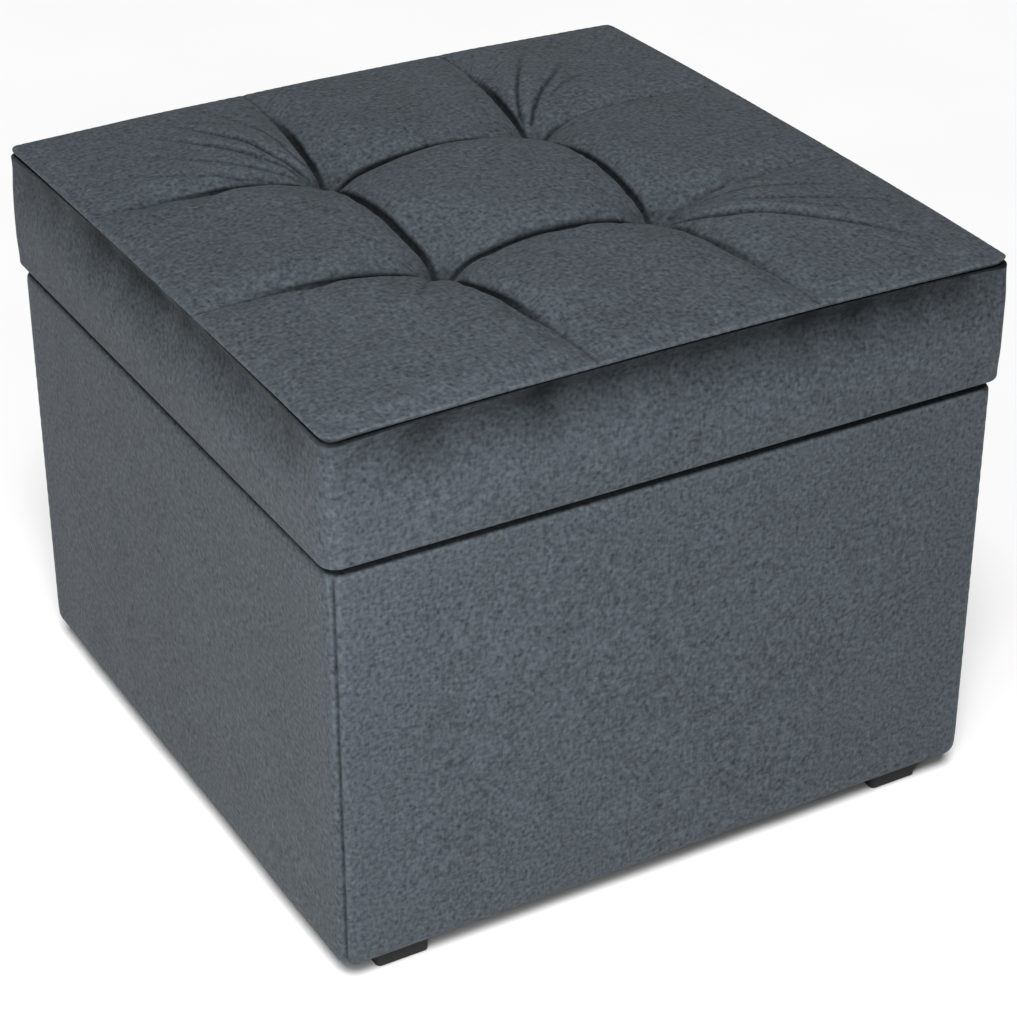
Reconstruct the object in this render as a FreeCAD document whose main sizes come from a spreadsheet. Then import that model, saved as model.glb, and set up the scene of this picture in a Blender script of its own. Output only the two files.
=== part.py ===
import FreeCAD, Part
import math
import os

import Sketcher

# Square storage ottoman: a padded box with a hinged, tufted lid.
# Frame: +Z up, -Y is the front, +X is the right side, origin on the floor under the centre.
# All lengths are in millimetres.

os.makedirs("parts", exist_ok=True)
doc = FreeCAD.newDocument("storage_ottoman")
sheet = doc.addObject("Spreadsheet::Sheet", "dimensions")

# Sides and corners in the order of quarter turns about Z, starting at the front.
SIDES = ("front", "right", "back", "left")
CORNERS = ("front_right", "back_right", "back_left", "front_left")
CORNER_SIGNS = (("", "-"), ("", ""), ("-", ""), ("-", "-"))
HALF_ROOT = math.sqrt(0.5)

# ---------------------------------------------------------------- sizes

size = {
    # outside
    "base_half": 250.0,
    "lid_half": 254.0,
    "corner_radius": 12.0,
    "foot_height": 15.0,
    "rim_top": 318.0,
    "lid_gap": 3.0,
    "band_height": 85.0,
    "crown_rise": 21.0,
    # layers of the base wall
    "cover_thickness": 1.2,
    "padding_thickness": 6.0,
    "board_thickness": 15.0,
    "lining_thickness": 0.6,
    "dust_thickness": 0.6,
    "floor_thickness": 12.0,
    "turn_down": 24.8,
    "base_edge_radius": 4.0,
    "rim_edge_radius": 3.0,
    "flap_inner": 228.0,
    "dust_half": 236.0,
    "block_leg": 22.0,
    "block_height": 259.2,
    # layers of the lid
    "lid_board_half": 250.0,
    "lid_board_thickness": 12.0,
    "lid_board_corner": 9.0,
    "band_edge_radius": 4.0,
    "band_turn_inner": 226.0,
    "lid_lining_half": 225.8,
    "lid_lining_thickness": 0.8,
    "wadding_half": 252.6,
    "wadding_corner": 10.6,
    "foam_half": 249.8,
    "foam_corner": 8.8,
    "panel_corner": 4.0,
    # tufts
    "tuft_offset": 82.0,
    "tuft_depth": 24.0,
    "tuft_floor_radius": 4.0,
    "tuft_mouth_radius": 66.0,
    "tuft_flank_radius": 64.0,
    "tuft_hole_radius": 4.0,
    "anchor_radius": 10.0,
    "anchor_seat_radius": 10.5,
    "anchor_thickness": 2.5,
    "twine_radius": 0.75,
    "twine_half_gap": 2.5,
    "twine_hole": 0.9,
    # feet
    "foot_half": 19.5,
    "foot_x": 200.5,
    "foot_y": 218.5,
    "foot_corner": 4.0,
    "foot_chamfer": 1.0,
    "foot_hole_radius": 2.2,
    "foot_seat_radius": 5.0,
    "foot_seat_depth": 6.0,
    # bumpers on the rim
    "bumper_radius": 5.0,
    "bumper_height": 2.9,
    "bumper_x": 205.0,
    "bumper_y": 236.0,
    # hinges
    "hinge_offset": 140.0,
    "hinge_half": 35.0,
    "hinge_axis_y": 255.0,
    "leaf_depth": 27.0,
    "leaf_root": 3.2,
    "leaf_thickness": 1.3,
    "leaf_to_axis": 0.2,
    "knuckle_radius": 2.75,
    "knuckle_bore": 1.45,
    "knuckle_gap": 0.2,
    "pin_radius": 1.4,
    "pin_head_radius": 2.4,
    "pin_head_length": 1.0,
    "hinge_screw_inset": 19.7,
    "hinge_screw_pitch": 25.0,
    # screws
    "small_shank": 1.5,
    "small_head": 2.9,
    "small_cone": 1.3,
    "small_length": 11.0,
    "board_shank": 2.0,
    "board_head": 4.0,
    "board_cone": 2.2,
    "frame_screw_length": 36.0,
    "frame_screw_low": 80.0,
    "frame_screw_span": 180.0,
    "floor_screw_length": 28.0,
    "floor_screw_start": 120.0,
    "foot_screw_head": 4.0,
    "foot_screw_shank": 2.0,
    "foot_screw_head_height": 3.0,
    "foot_screw_length": 18.0,
    "hinge_base_screw_length": 18.0,
    "screw_point": 3.0,
    # staples
    "staple_half": 5.0,
    "staple_wire": 0.5,
    "staple_leg": 6.0,
    "staple_width": 0.7,
    "dust_staple_row": 231.0,
    "dust_staple_start": 170.0,
    "lid_staple_row": 222.0,
    "lid_staple_start": 180.0,
    # folding lid stay on the right wall
    "stay_base_y": 189.0,
    "stay_base_z": 163.5,
    "stay_lid_y": 160.0,
    "stay_lid_z": 305.5,
    "arm_half_width": 7.0,
    "arm_thickness": 2.5,
    "arm_side_gap": 0.3,
    "rivet_radius": 3.0,
    "rivet_clearance": 0.05,
    "rivet_head_radius": 5.5,
    "rivet_head_height": 1.5,
    "rivet_back_radius": 5.0,
    "rivet_back_height": 1.2,
    "stay_plate_half_width": 9.0,
    "stay_plate_half_height": 24.0,
    "stay_plate_thickness": 2.0,
    "stay_boss_radius": 8.0,
    "stay_boss_height": 3.0,
    "stay_screw_offset": 16.0,
    "stop_reach": 22.0,
    "stop_radius": 2.5,
    "stop_height": 2.2,
    "bracket_half_width": 10.0,
    "bracket_flange_inner": 197.0,
    "bracket_thickness": 2.0,
    "bracket_tab_bottom": 296.5,
    "bracket_tab_corner": 6.0,
    "bracket_screw_x": 206.0,
    "bracket_screw_offset": 5.0,
}


def derive(name, value):
    size[name] = round(value, 6)


# heights of the base
derive("flap_bottom", size["foot_height"] + size["dust_thickness"])
derive("floor_bottom", size["flap_bottom"] + size["cover_thickness"])
derive("floor_top", size["floor_bottom"] + size["floor_thickness"])
derive("board_top", size["rim_top"] - size["cover_thickness"])
derive("board_height", size["board_top"] - size["floor_top"])
derive("wall_height", size["board_top"] - size["floor_bottom"])
derive("turn_bottom", size["board_top"] - size["turn_down"])
derive("lining_bottom", size["floor_top"] + size["lining_thickness"])
derive("lining_height", size["turn_bottom"] - size["lining_bottom"])

# widths of the base
derive("cover_inner", size["base_half"] - size["cover_thickness"])
derive("board_outer", size["cover_inner"] - size["padding_thickness"])
derive("board_inner", size["board_outer"] - size["board_thickness"])
derive("board_middle", size["board_outer"] - 0.5 * size["board_thickness"])
derive("turn_inner", size["board_inner"] - size["cover_thickness"])
derive("inner_corner_radius", size["corner_radius"] - size["cover_thickness"])
derive("base_corner_start", size["base_half"] - size["corner_radius"])
derive("base_corner_outer", size["base_corner_start"] + HALF_ROOT * size["corner_radius"])
derive("base_corner_inner", size["base_corner_start"] + HALF_ROOT * size["inner_corner_radius"])
derive("chamfer_outer", size["board_inner"] - size["block_leg"])
derive("lining_inner", size["board_inner"] - size["lining_thickness"])
derive("chamfer_inner", size["chamfer_outer"] + size["lining_thickness"] * (1.0 - math.sqrt(2.0)))

# heights and widths of the lid
derive("lid_bottom", size["rim_top"] + size["lid_gap"])
derive("lid_board_bottom", size["lid_bottom"] + size["cover_thickness"])
derive("lid_board_top", size["lid_board_bottom"] + size["lid_board_thickness"])
derive("seam_height", size["lid_bottom"] + size["band_height"])
derive("band_top", size["seam_height"] - size["cover_thickness"])
derive("band_sheet_height", size["band_top"] - size["lid_board_bottom"])
derive("lid_lining_bottom", size["lid_board_bottom"] - size["lid_lining_thickness"])
derive("lid_cover_inner", size["lid_half"] - size["cover_thickness"])
derive("lid_corner_start", size["lid_half"] - size["corner_radius"])
derive("lid_corner_outer", size["lid_corner_start"] + HALF_ROOT * size["corner_radius"])
derive("lid_corner_inner", size["lid_corner_start"] + HALF_ROOT * size["inner_corner_radius"])

# tufted layers: the same pillow shape at rising depths under the top face
LAYERS = (
    ("panel", "lid_half", "panel_corner", 0.0),
    ("panel_under", "lid_half", "panel_corner", size["cover_thickness"]),
    ("wadding", "wadding_half", "wadding_corner", size["cover_thickness"] + 0.2),
    ("hollow", "lid_board_half", "lid_board_corner", size["cover_thickness"] + 8.2),
    ("foam", "foam_half", "foam_corner", size["cover_thickness"] + 8.4),
)
for layer, half_name, corner_name, drop in LAYERS:
    half = size[half_name]
    edge = size["seam_height"] - drop
    derive(layer + "_edge", edge)
    derive(layer + "_corner_start", half - size[corner_name])
    derive(layer + "_crown", edge + size["crown_rise"])
    derive(layer + "_arc", (half ** 2 + size["crown_rise"] ** 2) / (2.0 * size["crown_rise"]))
    derive(layer + "_tuft", edge - size["tuft_depth"])
    derive(layer + "_mouth", edge + size["crown_rise"] + 0.5)
    derive(layer + "_sky", edge + size["crown_rise"] + 12.0)
derive("wadding_bottom", size["lid_board_bottom"] + 0.2)
derive("cutter_bottom", size["wadding_bottom"] - 10.0)
derive("twine_bottom", size["lid_board_bottom"] + 0.4)
derive("twine_top", size["panel_tuft"] + size["twine_radius"])

# hinges
derive("hinge_axis_z", size["rim_top"] + 0.5 * size["lid_gap"])
derive("leaf_far", size["leaf_to_axis"] + size["leaf_thickness"])
derive("knuckle_length", (2.0 * size["hinge_half"] - 4.0 * size["knuckle_gap"]) / 5.0)
derive("knuckle_pitch", size["knuckle_length"] + size["knuckle_gap"])
derive("base_leaf_top", size["hinge_axis_z"] - size["leaf_to_axis"])
derive("lid_leaf_bottom", size["hinge_axis_z"] + size["leaf_to_axis"])
derive("hinge_screw_row", size["hinge_axis_y"] - size["hinge_screw_inset"])
derive("hinge_screw_start", size["hinge_offset"] + size["hinge_screw_pitch"])

# lid stay: with the lid it makes a parallelogram, so four pivots set both arms
lid_run = size["hinge_axis_y"] - size["stay_lid_y"]
lid_rise = size["stay_lid_z"] - size["hinge_axis_z"]
base_run = size["hinge_axis_y"] - size["stay_base_y"]
base_rise = size["stay_base_z"] - size["hinge_axis_z"]
derive("lower_arm_length", math.hypot(lid_run, lid_rise))
derive("upper_arm_length", math.hypot(base_run, base_rise))
derive("stay_elbow_y", size["stay_base_y"] - lid_run)
derive("stay_elbow_z", size["stay_base_z"] + lid_rise)
derive("boss_face", size["stay_plate_thickness"] + size["stay_boss_height"])
derive("lower_arm_outer", size["lining_inner"] - size["boss_face"] - size["arm_side_gap"])
derive("lower_arm_inner", size["lower_arm_outer"] - size["arm_thickness"])
derive("upper_arm_outer", size["lower_arm_inner"] - size["arm_side_gap"])
derive("upper_arm_inner", size["upper_arm_outer"] - size["arm_thickness"])
derive("arm_hole_radius", size["rivet_radius"] + size["rivet_clearance"])
derive("stop_at", size["lower_arm_length"] + size["stop_reach"])
derive("bracket_flange_bottom", size["lid_lining_bottom"] - size["bracket_thickness"])
derive("base_rivet_reach", size["boss_face"] + 2.0 * size["arm_side_gap"] + size["arm_thickness"])
derive("arm_rivet_reach", 2.0 * size["arm_side_gap"] + 2.0 * size["arm_thickness"])
derive("bracket_back", size["stay_lid_y"] + size["bracket_half_width"])
derive("bracket_screw_y", size["stay_lid_y"] - size["bracket_screw_offset"])
derive("bracket_cone_top", size["bracket_flange_bottom"] + size["small_cone"])
derive("bracket_screw_tip", size["bracket_flange_bottom"] + size["small_length"])
derive("bracket_screw_point", size["bracket_screw_tip"] - size["screw_point"])
derive("plate_cone_end", size["stay_plate_thickness"] - size["small_cone"])
derive("plate_screw_tip", size["small_length"] - size["stay_plate_thickness"])
derive("plate_screw_point", size["plate_screw_tip"] - size["screw_point"])

# feet, screws and staples
derive("foot_corner_start", size["foot_half"] - size["foot_corner"])
derive("foot_screw_bottom", size["foot_seat_depth"] - size["foot_screw_head_height"])
derive("foot_screw_tip", size["foot_seat_depth"] + size["foot_screw_length"])
derive("foot_screw_point", size["foot_screw_tip"] - size["screw_point"])
derive("floor_screw_cone", size["floor_bottom"] + size["board_cone"])
derive("floor_screw_tip", size["floor_bottom"] + size["floor_screw_length"])
derive("floor_screw_point", size["floor_screw_tip"] - size["screw_point"])
derive("frame_screw_cone", size["board_outer"] - size["board_cone"])
derive("frame_screw_tip", size["board_outer"] - size["frame_screw_length"])
derive("frame_screw_point", size["frame_screw_tip"] + size["screw_point"])
derive("hinge_base_screw_tip", size["base_leaf_top"] - size["hinge_base_screw_length"])
derive("hinge_base_screw_point", size["hinge_base_screw_tip"] + size["screw_point"])
derive("hinge_lid_screw_tip", size["lid_leaf_bottom"] + size["small_length"])
derive("hinge_lid_screw_point", size["hinge_lid_screw_tip"] - size["screw_point"])
derive("pin_half", size["hinge_half"] + size["pin_head_length"])
derive("second_knuckle", size["hinge_half"] - size["knuckle_pitch"])
derive("staple_inner", size["staple_half"] - size["staple_wire"])
derive("dust_staple_crown", size["foot_height"] - size["staple_wire"])
derive("dust_staple_plane", size["dust_staple_row"] - 0.5 * size["staple_width"])
derive("lid_staple_crown", size["lid_lining_bottom"] - size["staple_wire"])
derive("lid_staple_plane", size["lid_staple_row"] - 0.5 * size["staple_width"])
derive("twine_near", size["tuft_offset"] - size["twine_half_gap"])
derive("twine_far", size["tuft_offset"] + size["twine_half_gap"])

for row, alias in enumerate(size, start=1):
    sheet.set("A%d" % row, alias)
    sheet.set("B%d" % row, repr(size[alias]))
    sheet.setAlias("B%d" % row, alias)
doc.recompute()

# ---------------------------------------------------------------- building tools


def number_of(term):
    """Value of a coordinate written as "0", "name" or "-name"."""
    if term == "0":
        return 0.0
    if term.startswith("-"):
        return -size[term[1:]]
    return size[term]


def formula(term):
    """The same coordinate as an expression on the sheet."""
    if term.startswith("-"):
        return "-dimensions." + term[1:]
    return "dimensions." + term


def face_side(body, turn):
    """Turns a body, built at the front, by that many quarter turns about Z."""
    body.Placement = FreeCAD.Placement(
        FreeCAD.Vector(0, 0, 0), FreeCAD.Rotation(FreeCAD.Vector(0, 0, 1), 90.0 * turn)
    )


def new_body(label, turn=0):
    body = doc.addObject("PartDesign::Body", label)
    body.Label = label
    body.AllowCompound = True
    face_side(body, turn)
    return body


def origin_feature(body, role):
    for feature in body.Origin.OriginFeatures:
        if feature.Role == role:
            return feature
    raise ValueError(role)


def new_sketch(body, role, name, shift):
    """Empty sketch on an origin plane, shifted along its own axes by sheet values."""
    sketch = body.newObject("Sketcher::SketchObject", name)
    sketch.AttachmentSupport = (origin_feature(body, role), [""])
    sketch.MapMode = "FlatFace"
    for letter, term in zip("xyz", shift):
        if term != "0":
            sketch.setExpression("AttachmentOffset.Base." + letter, formula(term))
    return sketch


def fix_point(sketch, edge, end, terms):
    """Pin one point of a sketch edge to a position given by two sheet values."""
    for kind, axis, term in zip(("DistanceX", "DistanceY"), (-2, -1), terms):
        if term == "0":
            sketch.addConstraint(Sketcher.Constraint("PointOnObject", edge, end, axis))
            continue
        if term.startswith("-"):
            rule = Sketcher.Constraint(kind, edge, end, -1, 1, size[term[1:]])
        else:
            rule = Sketcher.Constraint(kind, -1, 1, edge, end, size[term])
        index = sketch.addConstraint(rule)
        sketch.setExpression("Constraints[%d]" % index, formula(term.lstrip("-")))


def arc_between(start, finish, radius, turn):
    """Shorter arc between two points; "left" runs counter-clockwise."""
    chord = finish - start
    reach = math.sqrt(radius ** 2 - 0.25 * chord.Length ** 2)
    normal = FreeCAD.Vector(-chord.y, chord.x, 0).normalize()
    side = 1.0 if turn == "left" else -1.0
    centre = (start + finish) * 0.5 + normal * (side * reach)
    first = math.atan2(start.y - centre.y, start.x - centre.x)
    last = math.atan2(finish.y - centre.y, finish.x - centre.x)
    if turn == "right":
        first, last = last, first
    if last < first:
        last += 2.0 * math.pi
    return Part.ArcOfCircle(Part.Circle(centre, FreeCAD.Vector(0, 0, 1), radius), first, last)


def outline(body, role, name, corners, shift=("0", "0", "0")):
    """Closed profile. A corner is (u, v), or (u, v, radius, turn) when an arc arrives there."""
    sketch = new_sketch(body, role, name, shift)
    points = [FreeCAD.Vector(number_of(c[0]), number_of(c[1]), 0) for c in corners]
    edges = []
    for index, start in enumerate(points):
        arrival = corners[(index + 1) % len(corners)]
        finish = points[(index + 1) % len(points)]
        if len(arrival) == 2:
            edge = sketch.addGeometry(Part.LineSegment(start, finish), False)
            edges.append((edge, 1, 2))
            continue
        radius, turn = arrival[2:]
        edge = sketch.addGeometry(arc_between(start, finish, size[radius], turn), False)
        edges.append((edge, 1, 2) if turn == "left" else (edge, 2, 1))
        rule = sketch.addConstraint(Sketcher.Constraint("Radius", edge, size[radius]))
        sketch.setExpression("Constraints[%d]" % rule, formula(radius))
    for index, corner in enumerate(corners):
        edge, first_end, _ = edges[index]
        before, _, last_end = edges[index - 1]
        sketch.addConstraint(Sketcher.Constraint("Coincident", before, last_end, edge, first_end))
        fix_point(sketch, edge, first_end, corner[:2])
    return sketch


def circle(body, role, name, radius, centre=("0", "0"), shift=("0", "0", "0")):
    sketch = new_sketch(body, role, name, shift)
    at = FreeCAD.Vector(number_of(centre[0]), number_of(centre[1]), 0)
    edge = sketch.addGeometry(Part.Circle(at, FreeCAD.Vector(0, 0, 1), size[radius]), False)
    rule = sketch.addConstraint(Sketcher.Constraint("Radius", edge, size[radius]))
    sketch.setExpression("Constraints[%d]" % rule, formula(radius))
    fix_point(sketch, edge, 3, centre)
    return sketch


def pad(body, sketch, name, length, backwards=False):
    feature = body.newObject("PartDesign::Pad", name)
    feature.Profile = sketch
    feature.Reversed = backwards
    feature.setExpression("Length", length)
    body.Tip = feature
    return feature


def pocket(body, sketch, name, length, backwards=False):
    """Cut against the sketch's normal, or along it when backwards."""
    feature = body.newObject("PartDesign::Pocket", name)
    feature.Profile = sketch
    feature.Reversed = backwards
    feature.setExpression("Length", length)
    body.Tip = feature
    return feature


def revolve(body, sketch, name, axis="V_Axis", cut=False):
    feature = body.newObject("PartDesign::Groove" if cut else "PartDesign::Revolution", name)
    feature.Profile = sketch
    feature.ReferenceAxis = (sketch, [axis])
    feature.Angle = 360.0
    body.Tip = feature
    return feature


def dress(body, kind, name, amount, chosen):
    """Fillet or chamfer on the edges of the tip whose bounding box the test picks."""
    doc.recompute()
    base = body.Tip
    picked = []
    for number, edge in enumerate(base.Shape.Edges, start=1):
        if chosen(edge.BoundBox):
            picked.append("Edge%d" % number)
    if not picked:
        raise ValueError("no edge for " + name)
    feature = body.newObject("PartDesign::" + kind, name)
    feature.Base = (base, picked)
    feature.setExpression("Radius" if kind == "Fillet" else "Size", formula(amount))
    body.Tip = feature
    return feature


def repeat(body, name, features, steps):
    """Repeat features in rows, ("row", axis, length, count), or round Z, ("turn", count)."""
    group = body.newObject("PartDesign::MultiTransform", name)
    group.Originals = features
    members = []
    for number, step in enumerate(steps, start=1):
        if step[0] == "row":
            member = body.newObject("PartDesign::LinearPattern", "%s_row_%d" % (name, number))
            member.Direction = (origin_feature(body, step[1]), [""])
            member.setExpression("Length", step[2])
            member.Occurrences = step[3]
        else:
            member = body.newObject("PartDesign::PolarPattern", "%s_turn_%d" % (name, number))
            member.Axis = (origin_feature(body, "Z_Axis"), [""])
            member.Angle = 360.0
            member.Occurrences = step[1]
        members.append(member)
    group.Transformations = members
    body.Tip = group
    return group


def rectangle(half_u, half_v):
    """Corners of a rectangle centred on the sketch origin."""
    return [
        ("-" + half_u, "-" + half_v),
        (half_u, "-" + half_v),
        (half_u, half_v),
        ("-" + half_u, half_v),
    ]


def rounded_square(half, start, radius):
    """Corners of a centred square with rounded corners, counter-clockwise."""
    return [
        ("-" + start, "-" + half, radius, "left"),
        (start, "-" + half),
        (half, "-" + start, radius, "left"),
        (half, start),
        (start, half, radius, "left"),
        ("-" + start, half),
        ("-" + half, start, radius, "left"),
        ("-" + half, "-" + start),
    ]


def eight_sided(half, chamfer):
    """Corners of a centred square with chamfered corners, counter-clockwise."""
    return [
        ("-" + chamfer, "-" + half),
        (chamfer, "-" + half),
        (half, "-" + chamfer),
        (half, chamfer),
        (chamfer, half),
        ("-" + chamfer, half),
        ("-" + half, chamfer),
        ("-" + half, "-" + chamfer),
    ]


def place(body, terms, degrees=0.0):
    """Move a body to a position given by sheet values, turned about X."""
    body.Placement = FreeCAD.Placement(
        FreeCAD.Vector(*[number_of(term) for term in terms]),
        FreeCAD.Rotation(FreeCAD.Vector(1, 0, 0), degrees),
    )
    for letter, term in zip("xyz", terms):
        if term != "0":
            body.setExpression("Placement.Base." + letter, formula(term))


def near(first, second):
    return abs(first - second) < 0.01


sub_parts = []

# ---------------------------------------------------------------- wooden box

for turn, side in enumerate(SIDES):
    # Each board runs from an outer corner to the inner face of the next board.
    body = new_body("frame_" + side, turn)
    corners = [
        ("-board_outer", "-board_outer"),
        ("board_inner", "-board_outer"),
        ("board_inner", "-board_inner"),
        ("-board_outer", "-board_inner"),
    ]
    plan = outline(body, "XY_Plane", side + "_board_plan", corners, ("0", "0", "floor_top"))
    pad(body, plan, side + "_board", "dimensions.board_height")
    sub_parts.append(body)

body = new_body("frame_floor")
plan = outline(body, "XY_Plane", "floor_plan", rectangle("board_outer", "board_outer"),
               ("0", "0", "floor_bottom"))
pad(body, plan, "floor_board", "dimensions.floor_thickness")
sub_parts.append(body)

for turn, corner_name in enumerate(CORNERS):
    body = new_body("corner_block_" + corner_name, turn)
    corners = [
        ("board_inner", "-board_inner"),
        ("board_inner", "-chamfer_outer"),
        ("chamfer_outer", "-board_inner"),
    ]
    plan = outline(body, "XY_Plane", corner_name + "_block_plan", corners, ("0", "0", "floor_top"))
    pad(body, plan, corner_name + "_block", "dimensions.block_height")
    sub_parts.append(body)

body = new_body("frame_screws")
corners = [
    ("frame_screw_tip", "0"),
    ("board_outer", "0"),
    ("board_outer", "board_head"),
    ("frame_screw_cone", "board_shank"),
    ("frame_screw_point", "board_shank"),
]
profile = outline(body, "XZ_Plane", "frame_screw_profile", corners,
                  ("0", "frame_screw_low", "board_middle"))
screw = revolve(body, profile, "frame_screw", "H_Axis")
repeat(body, "frame_screw_set", [screw],
       [("row", "Z_Axis", "dimensions.frame_screw_span", 3), ("turn", 4)])
sub_parts.append(body)

body = new_body("floor_screws")
corners = [
    ("0", "floor_bottom"),
    ("board_head", "floor_bottom"),
    ("board_shank", "floor_screw_cone"),
    ("board_shank", "floor_screw_point"),
    ("0", "floor_screw_tip"),
]
profile = outline(body, "XZ_Plane", "floor_screw_profile", corners,
                  ("-floor_screw_start", "0", "board_middle"))
screw = revolve(body, profile, "floor_screw")
repeat(body, "floor_screw_set", [screw],
       [("row", "X_Axis", "2 * dimensions.floor_screw_start", 3), ("turn", 4)])
sub_parts.append(body)

# ---------------------------------------------------------------- soft layers of the base


def outer_edge(start, half, corner, radius):
    """Front outer line of a wrapped side, from one corner seam to the other."""
    return [
        ("-" + start, "-" + half, radius, "left"),
        (start, "-" + half),
        (corner, "-" + corner, radius, "left"),
    ]


def turned_strip(prefix, inner):
    """Flat strip from the outer line of a side to a straight inner edge, mitred at both ends."""
    return outer_edge(prefix + "_corner_start", prefix + "_half", prefix + "_corner_outer",
                      "corner_radius") + [
        (inner, "-" + inner),
        ("-" + inner, "-" + inner),
        ("-" + prefix + "_corner_outer", "-" + prefix + "_corner_outer"),
    ]


def upright_sheet(prefix, inner):
    """Thin upright wall that follows the outer line of a side round half of each corner."""
    start = prefix + "_corner_start"
    seam = prefix + "_corner_inner"
    return outer_edge(start, prefix + "_half", prefix + "_corner_outer", "corner_radius") + [
        (seam, "-" + seam),
        (start, "-" + inner, "inner_corner_radius", "right"),
        ("-" + start, "-" + inner),
        ("-" + seam, "-" + seam, "inner_corner_radius", "right"),
        ("-" + prefix + "_corner_outer", "-" + prefix + "_corner_outer"),
    ]


def outside_at(level, corner):
    """Test for the edges of the outer line at one height."""
    return lambda box: (
        near(box.ZMin, size[level])
        and near(box.ZMax, size[level])
        and box.YMax < 0.01 - size[corner]
    )


for turn, side in enumerate(SIDES):
    body = new_body("padding_" + side, turn)
    corners = outer_edge("base_corner_start", "cover_inner", "base_corner_inner", "inner_corner_radius")
    corners += [
        ("board_outer", "-board_outer"),
        ("-board_outer", "-board_outer"),
        ("-base_corner_inner", "-base_corner_inner"),
    ]
    plan = outline(body, "XY_Plane", side + "_padding_plan", corners, ("0", "0", "floor_bottom"))
    pad(body, plan, side + "_padding", "dimensions.wall_height")
    sub_parts.append(body)

for turn, side in enumerate(SIDES):
    # Cover of one side: a flap under the floor, the outer face, the rim and the turn inside.
    body = new_body("cover_" + side)
    plan = outline(body, "XY_Plane", side + "_flap_plan", turned_strip("base", "flap_inner"),
                   ("0", "0", "flap_bottom"))
    pad(body, plan, side + "_flap", "dimensions.cover_thickness")
    plan = outline(body, "XY_Plane", side + "_face_plan", upright_sheet("base", "cover_inner"),
                   ("0", "0", "floor_bottom"))
    pad(body, plan, side + "_face", "dimensions.wall_height")
    plan = outline(body, "XY_Plane", side + "_rim_plan", turned_strip("base", "turn_inner"),
                   ("0", "0", "board_top"))
    pad(body, plan, side + "_rim", "dimensions.cover_thickness")
    corners = [
        ("-board_inner", "-board_inner"),
        ("board_inner", "-board_inner"),
        ("turn_inner", "-turn_inner"),
        ("-turn_inner", "-turn_inner"),
    ]
    plan = outline(body, "XY_Plane", side + "_turn_plan", corners, ("0", "0", "turn_bottom"))
    pad(body, plan, side + "_turn", "dimensions.turn_down")
    dress(body, "Fillet", side + "_bottom_round", "base_edge_radius",
          outside_at("flap_bottom", "base_corner_outer"))
    dress(body, "Fillet", side + "_rim_round", "rim_edge_radius",
          outside_at("rim_top", "base_corner_outer"))
    face_side(body, turn)
    sub_parts.append(body)

body = new_body("lining_walls")
plan = outline(body, "XY_Plane", "lining_outside", eight_sided("board_inner", "chamfer_outer"),
               ("0", "0", "lining_bottom"))
pad(body, plan, "lining_block", "dimensions.lining_height")
plan = outline(body, "XY_Plane", "lining_inside", eight_sided("lining_inner", "chamfer_inner"),
               ("0", "0", "turn_bottom"))
pocket(body, plan, "lining_hollow", "dimensions.lining_height")
sub_parts.append(body)

body = new_body("lining_floor")
plan = outline(body, "XY_Plane", "lining_floor_plan", eight_sided("board_inner", "chamfer_outer"),
               ("0", "0", "floor_top"))
pad(body, plan, "lining_floor_sheet", "dimensions.lining_thickness")
sub_parts.append(body)

body = new_body("dust_cover")
plan = outline(body, "XY_Plane", "dust_plan", rectangle("dust_half", "dust_half"),
               ("0", "0", "foot_height"))
pad(body, plan, "dust_sheet", "dimensions.dust_thickness")
sub_parts.append(body)


def staple_group(label, start, crown, plane):
    """Rows of wire staples along the four sides, legs up."""
    body = new_body(label)
    corners = [
        ("-staple_half", "0"),
        ("staple_half", "0"),
        ("staple_half", "staple_leg"),
        ("staple_inner", "staple_leg"),
        ("staple_inner", "staple_wire"),
        ("-staple_inner", "staple_wire"),
        ("-staple_inner", "staple_leg"),
        ("-staple_half", "staple_leg"),
    ]
    profile = outline(body, "XZ_Plane", label + "_profile", corners, ("-" + start, crown, plane))
    staple = pad(body, profile, label + "_staple", "dimensions.staple_width")
    repeat(body, label + "_set", [staple],
           [("row", "X_Axis", "2 * dimensions." + start, 6), ("turn", 4)])
    return body


sub_parts.append(
    staple_group("dust_cover_staples", "dust_staple_start", "dust_staple_crown", "dust_staple_plane")
)

# ---------------------------------------------------------------- feet and bumpers

for corner_name, (sign_x, sign_y) in zip(CORNERS, CORNER_SIGNS):
    body = new_body("foot_" + corner_name)
    at = (sign_x + "foot_x", sign_y + "foot_y", "0")
    plan = outline(body, "XY_Plane", corner_name + "_foot_plan",
                   rounded_square("foot_half", "foot_corner_start", "foot_corner"), at)
    pad(body, plan, corner_name + "_foot", "dimensions.foot_height")
    dress(body, "Chamfer", corner_name + "_foot_edge", "foot_chamfer",
          lambda box: near(box.ZMin, 0.0) and near(box.ZMax, 0.0))
    plan = circle(body, "XY_Plane", corner_name + "_seat_plan", "foot_seat_radius", shift=at)
    pocket(body, plan, corner_name + "_seat", "dimensions.foot_seat_depth", backwards=True)
    plan = circle(body, "XY_Plane", corner_name + "_hole_plan", "foot_hole_radius", shift=at)
    pocket(body, plan, corner_name + "_hole", "dimensions.foot_height", backwards=True)
    sub_parts.append(body)

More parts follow.
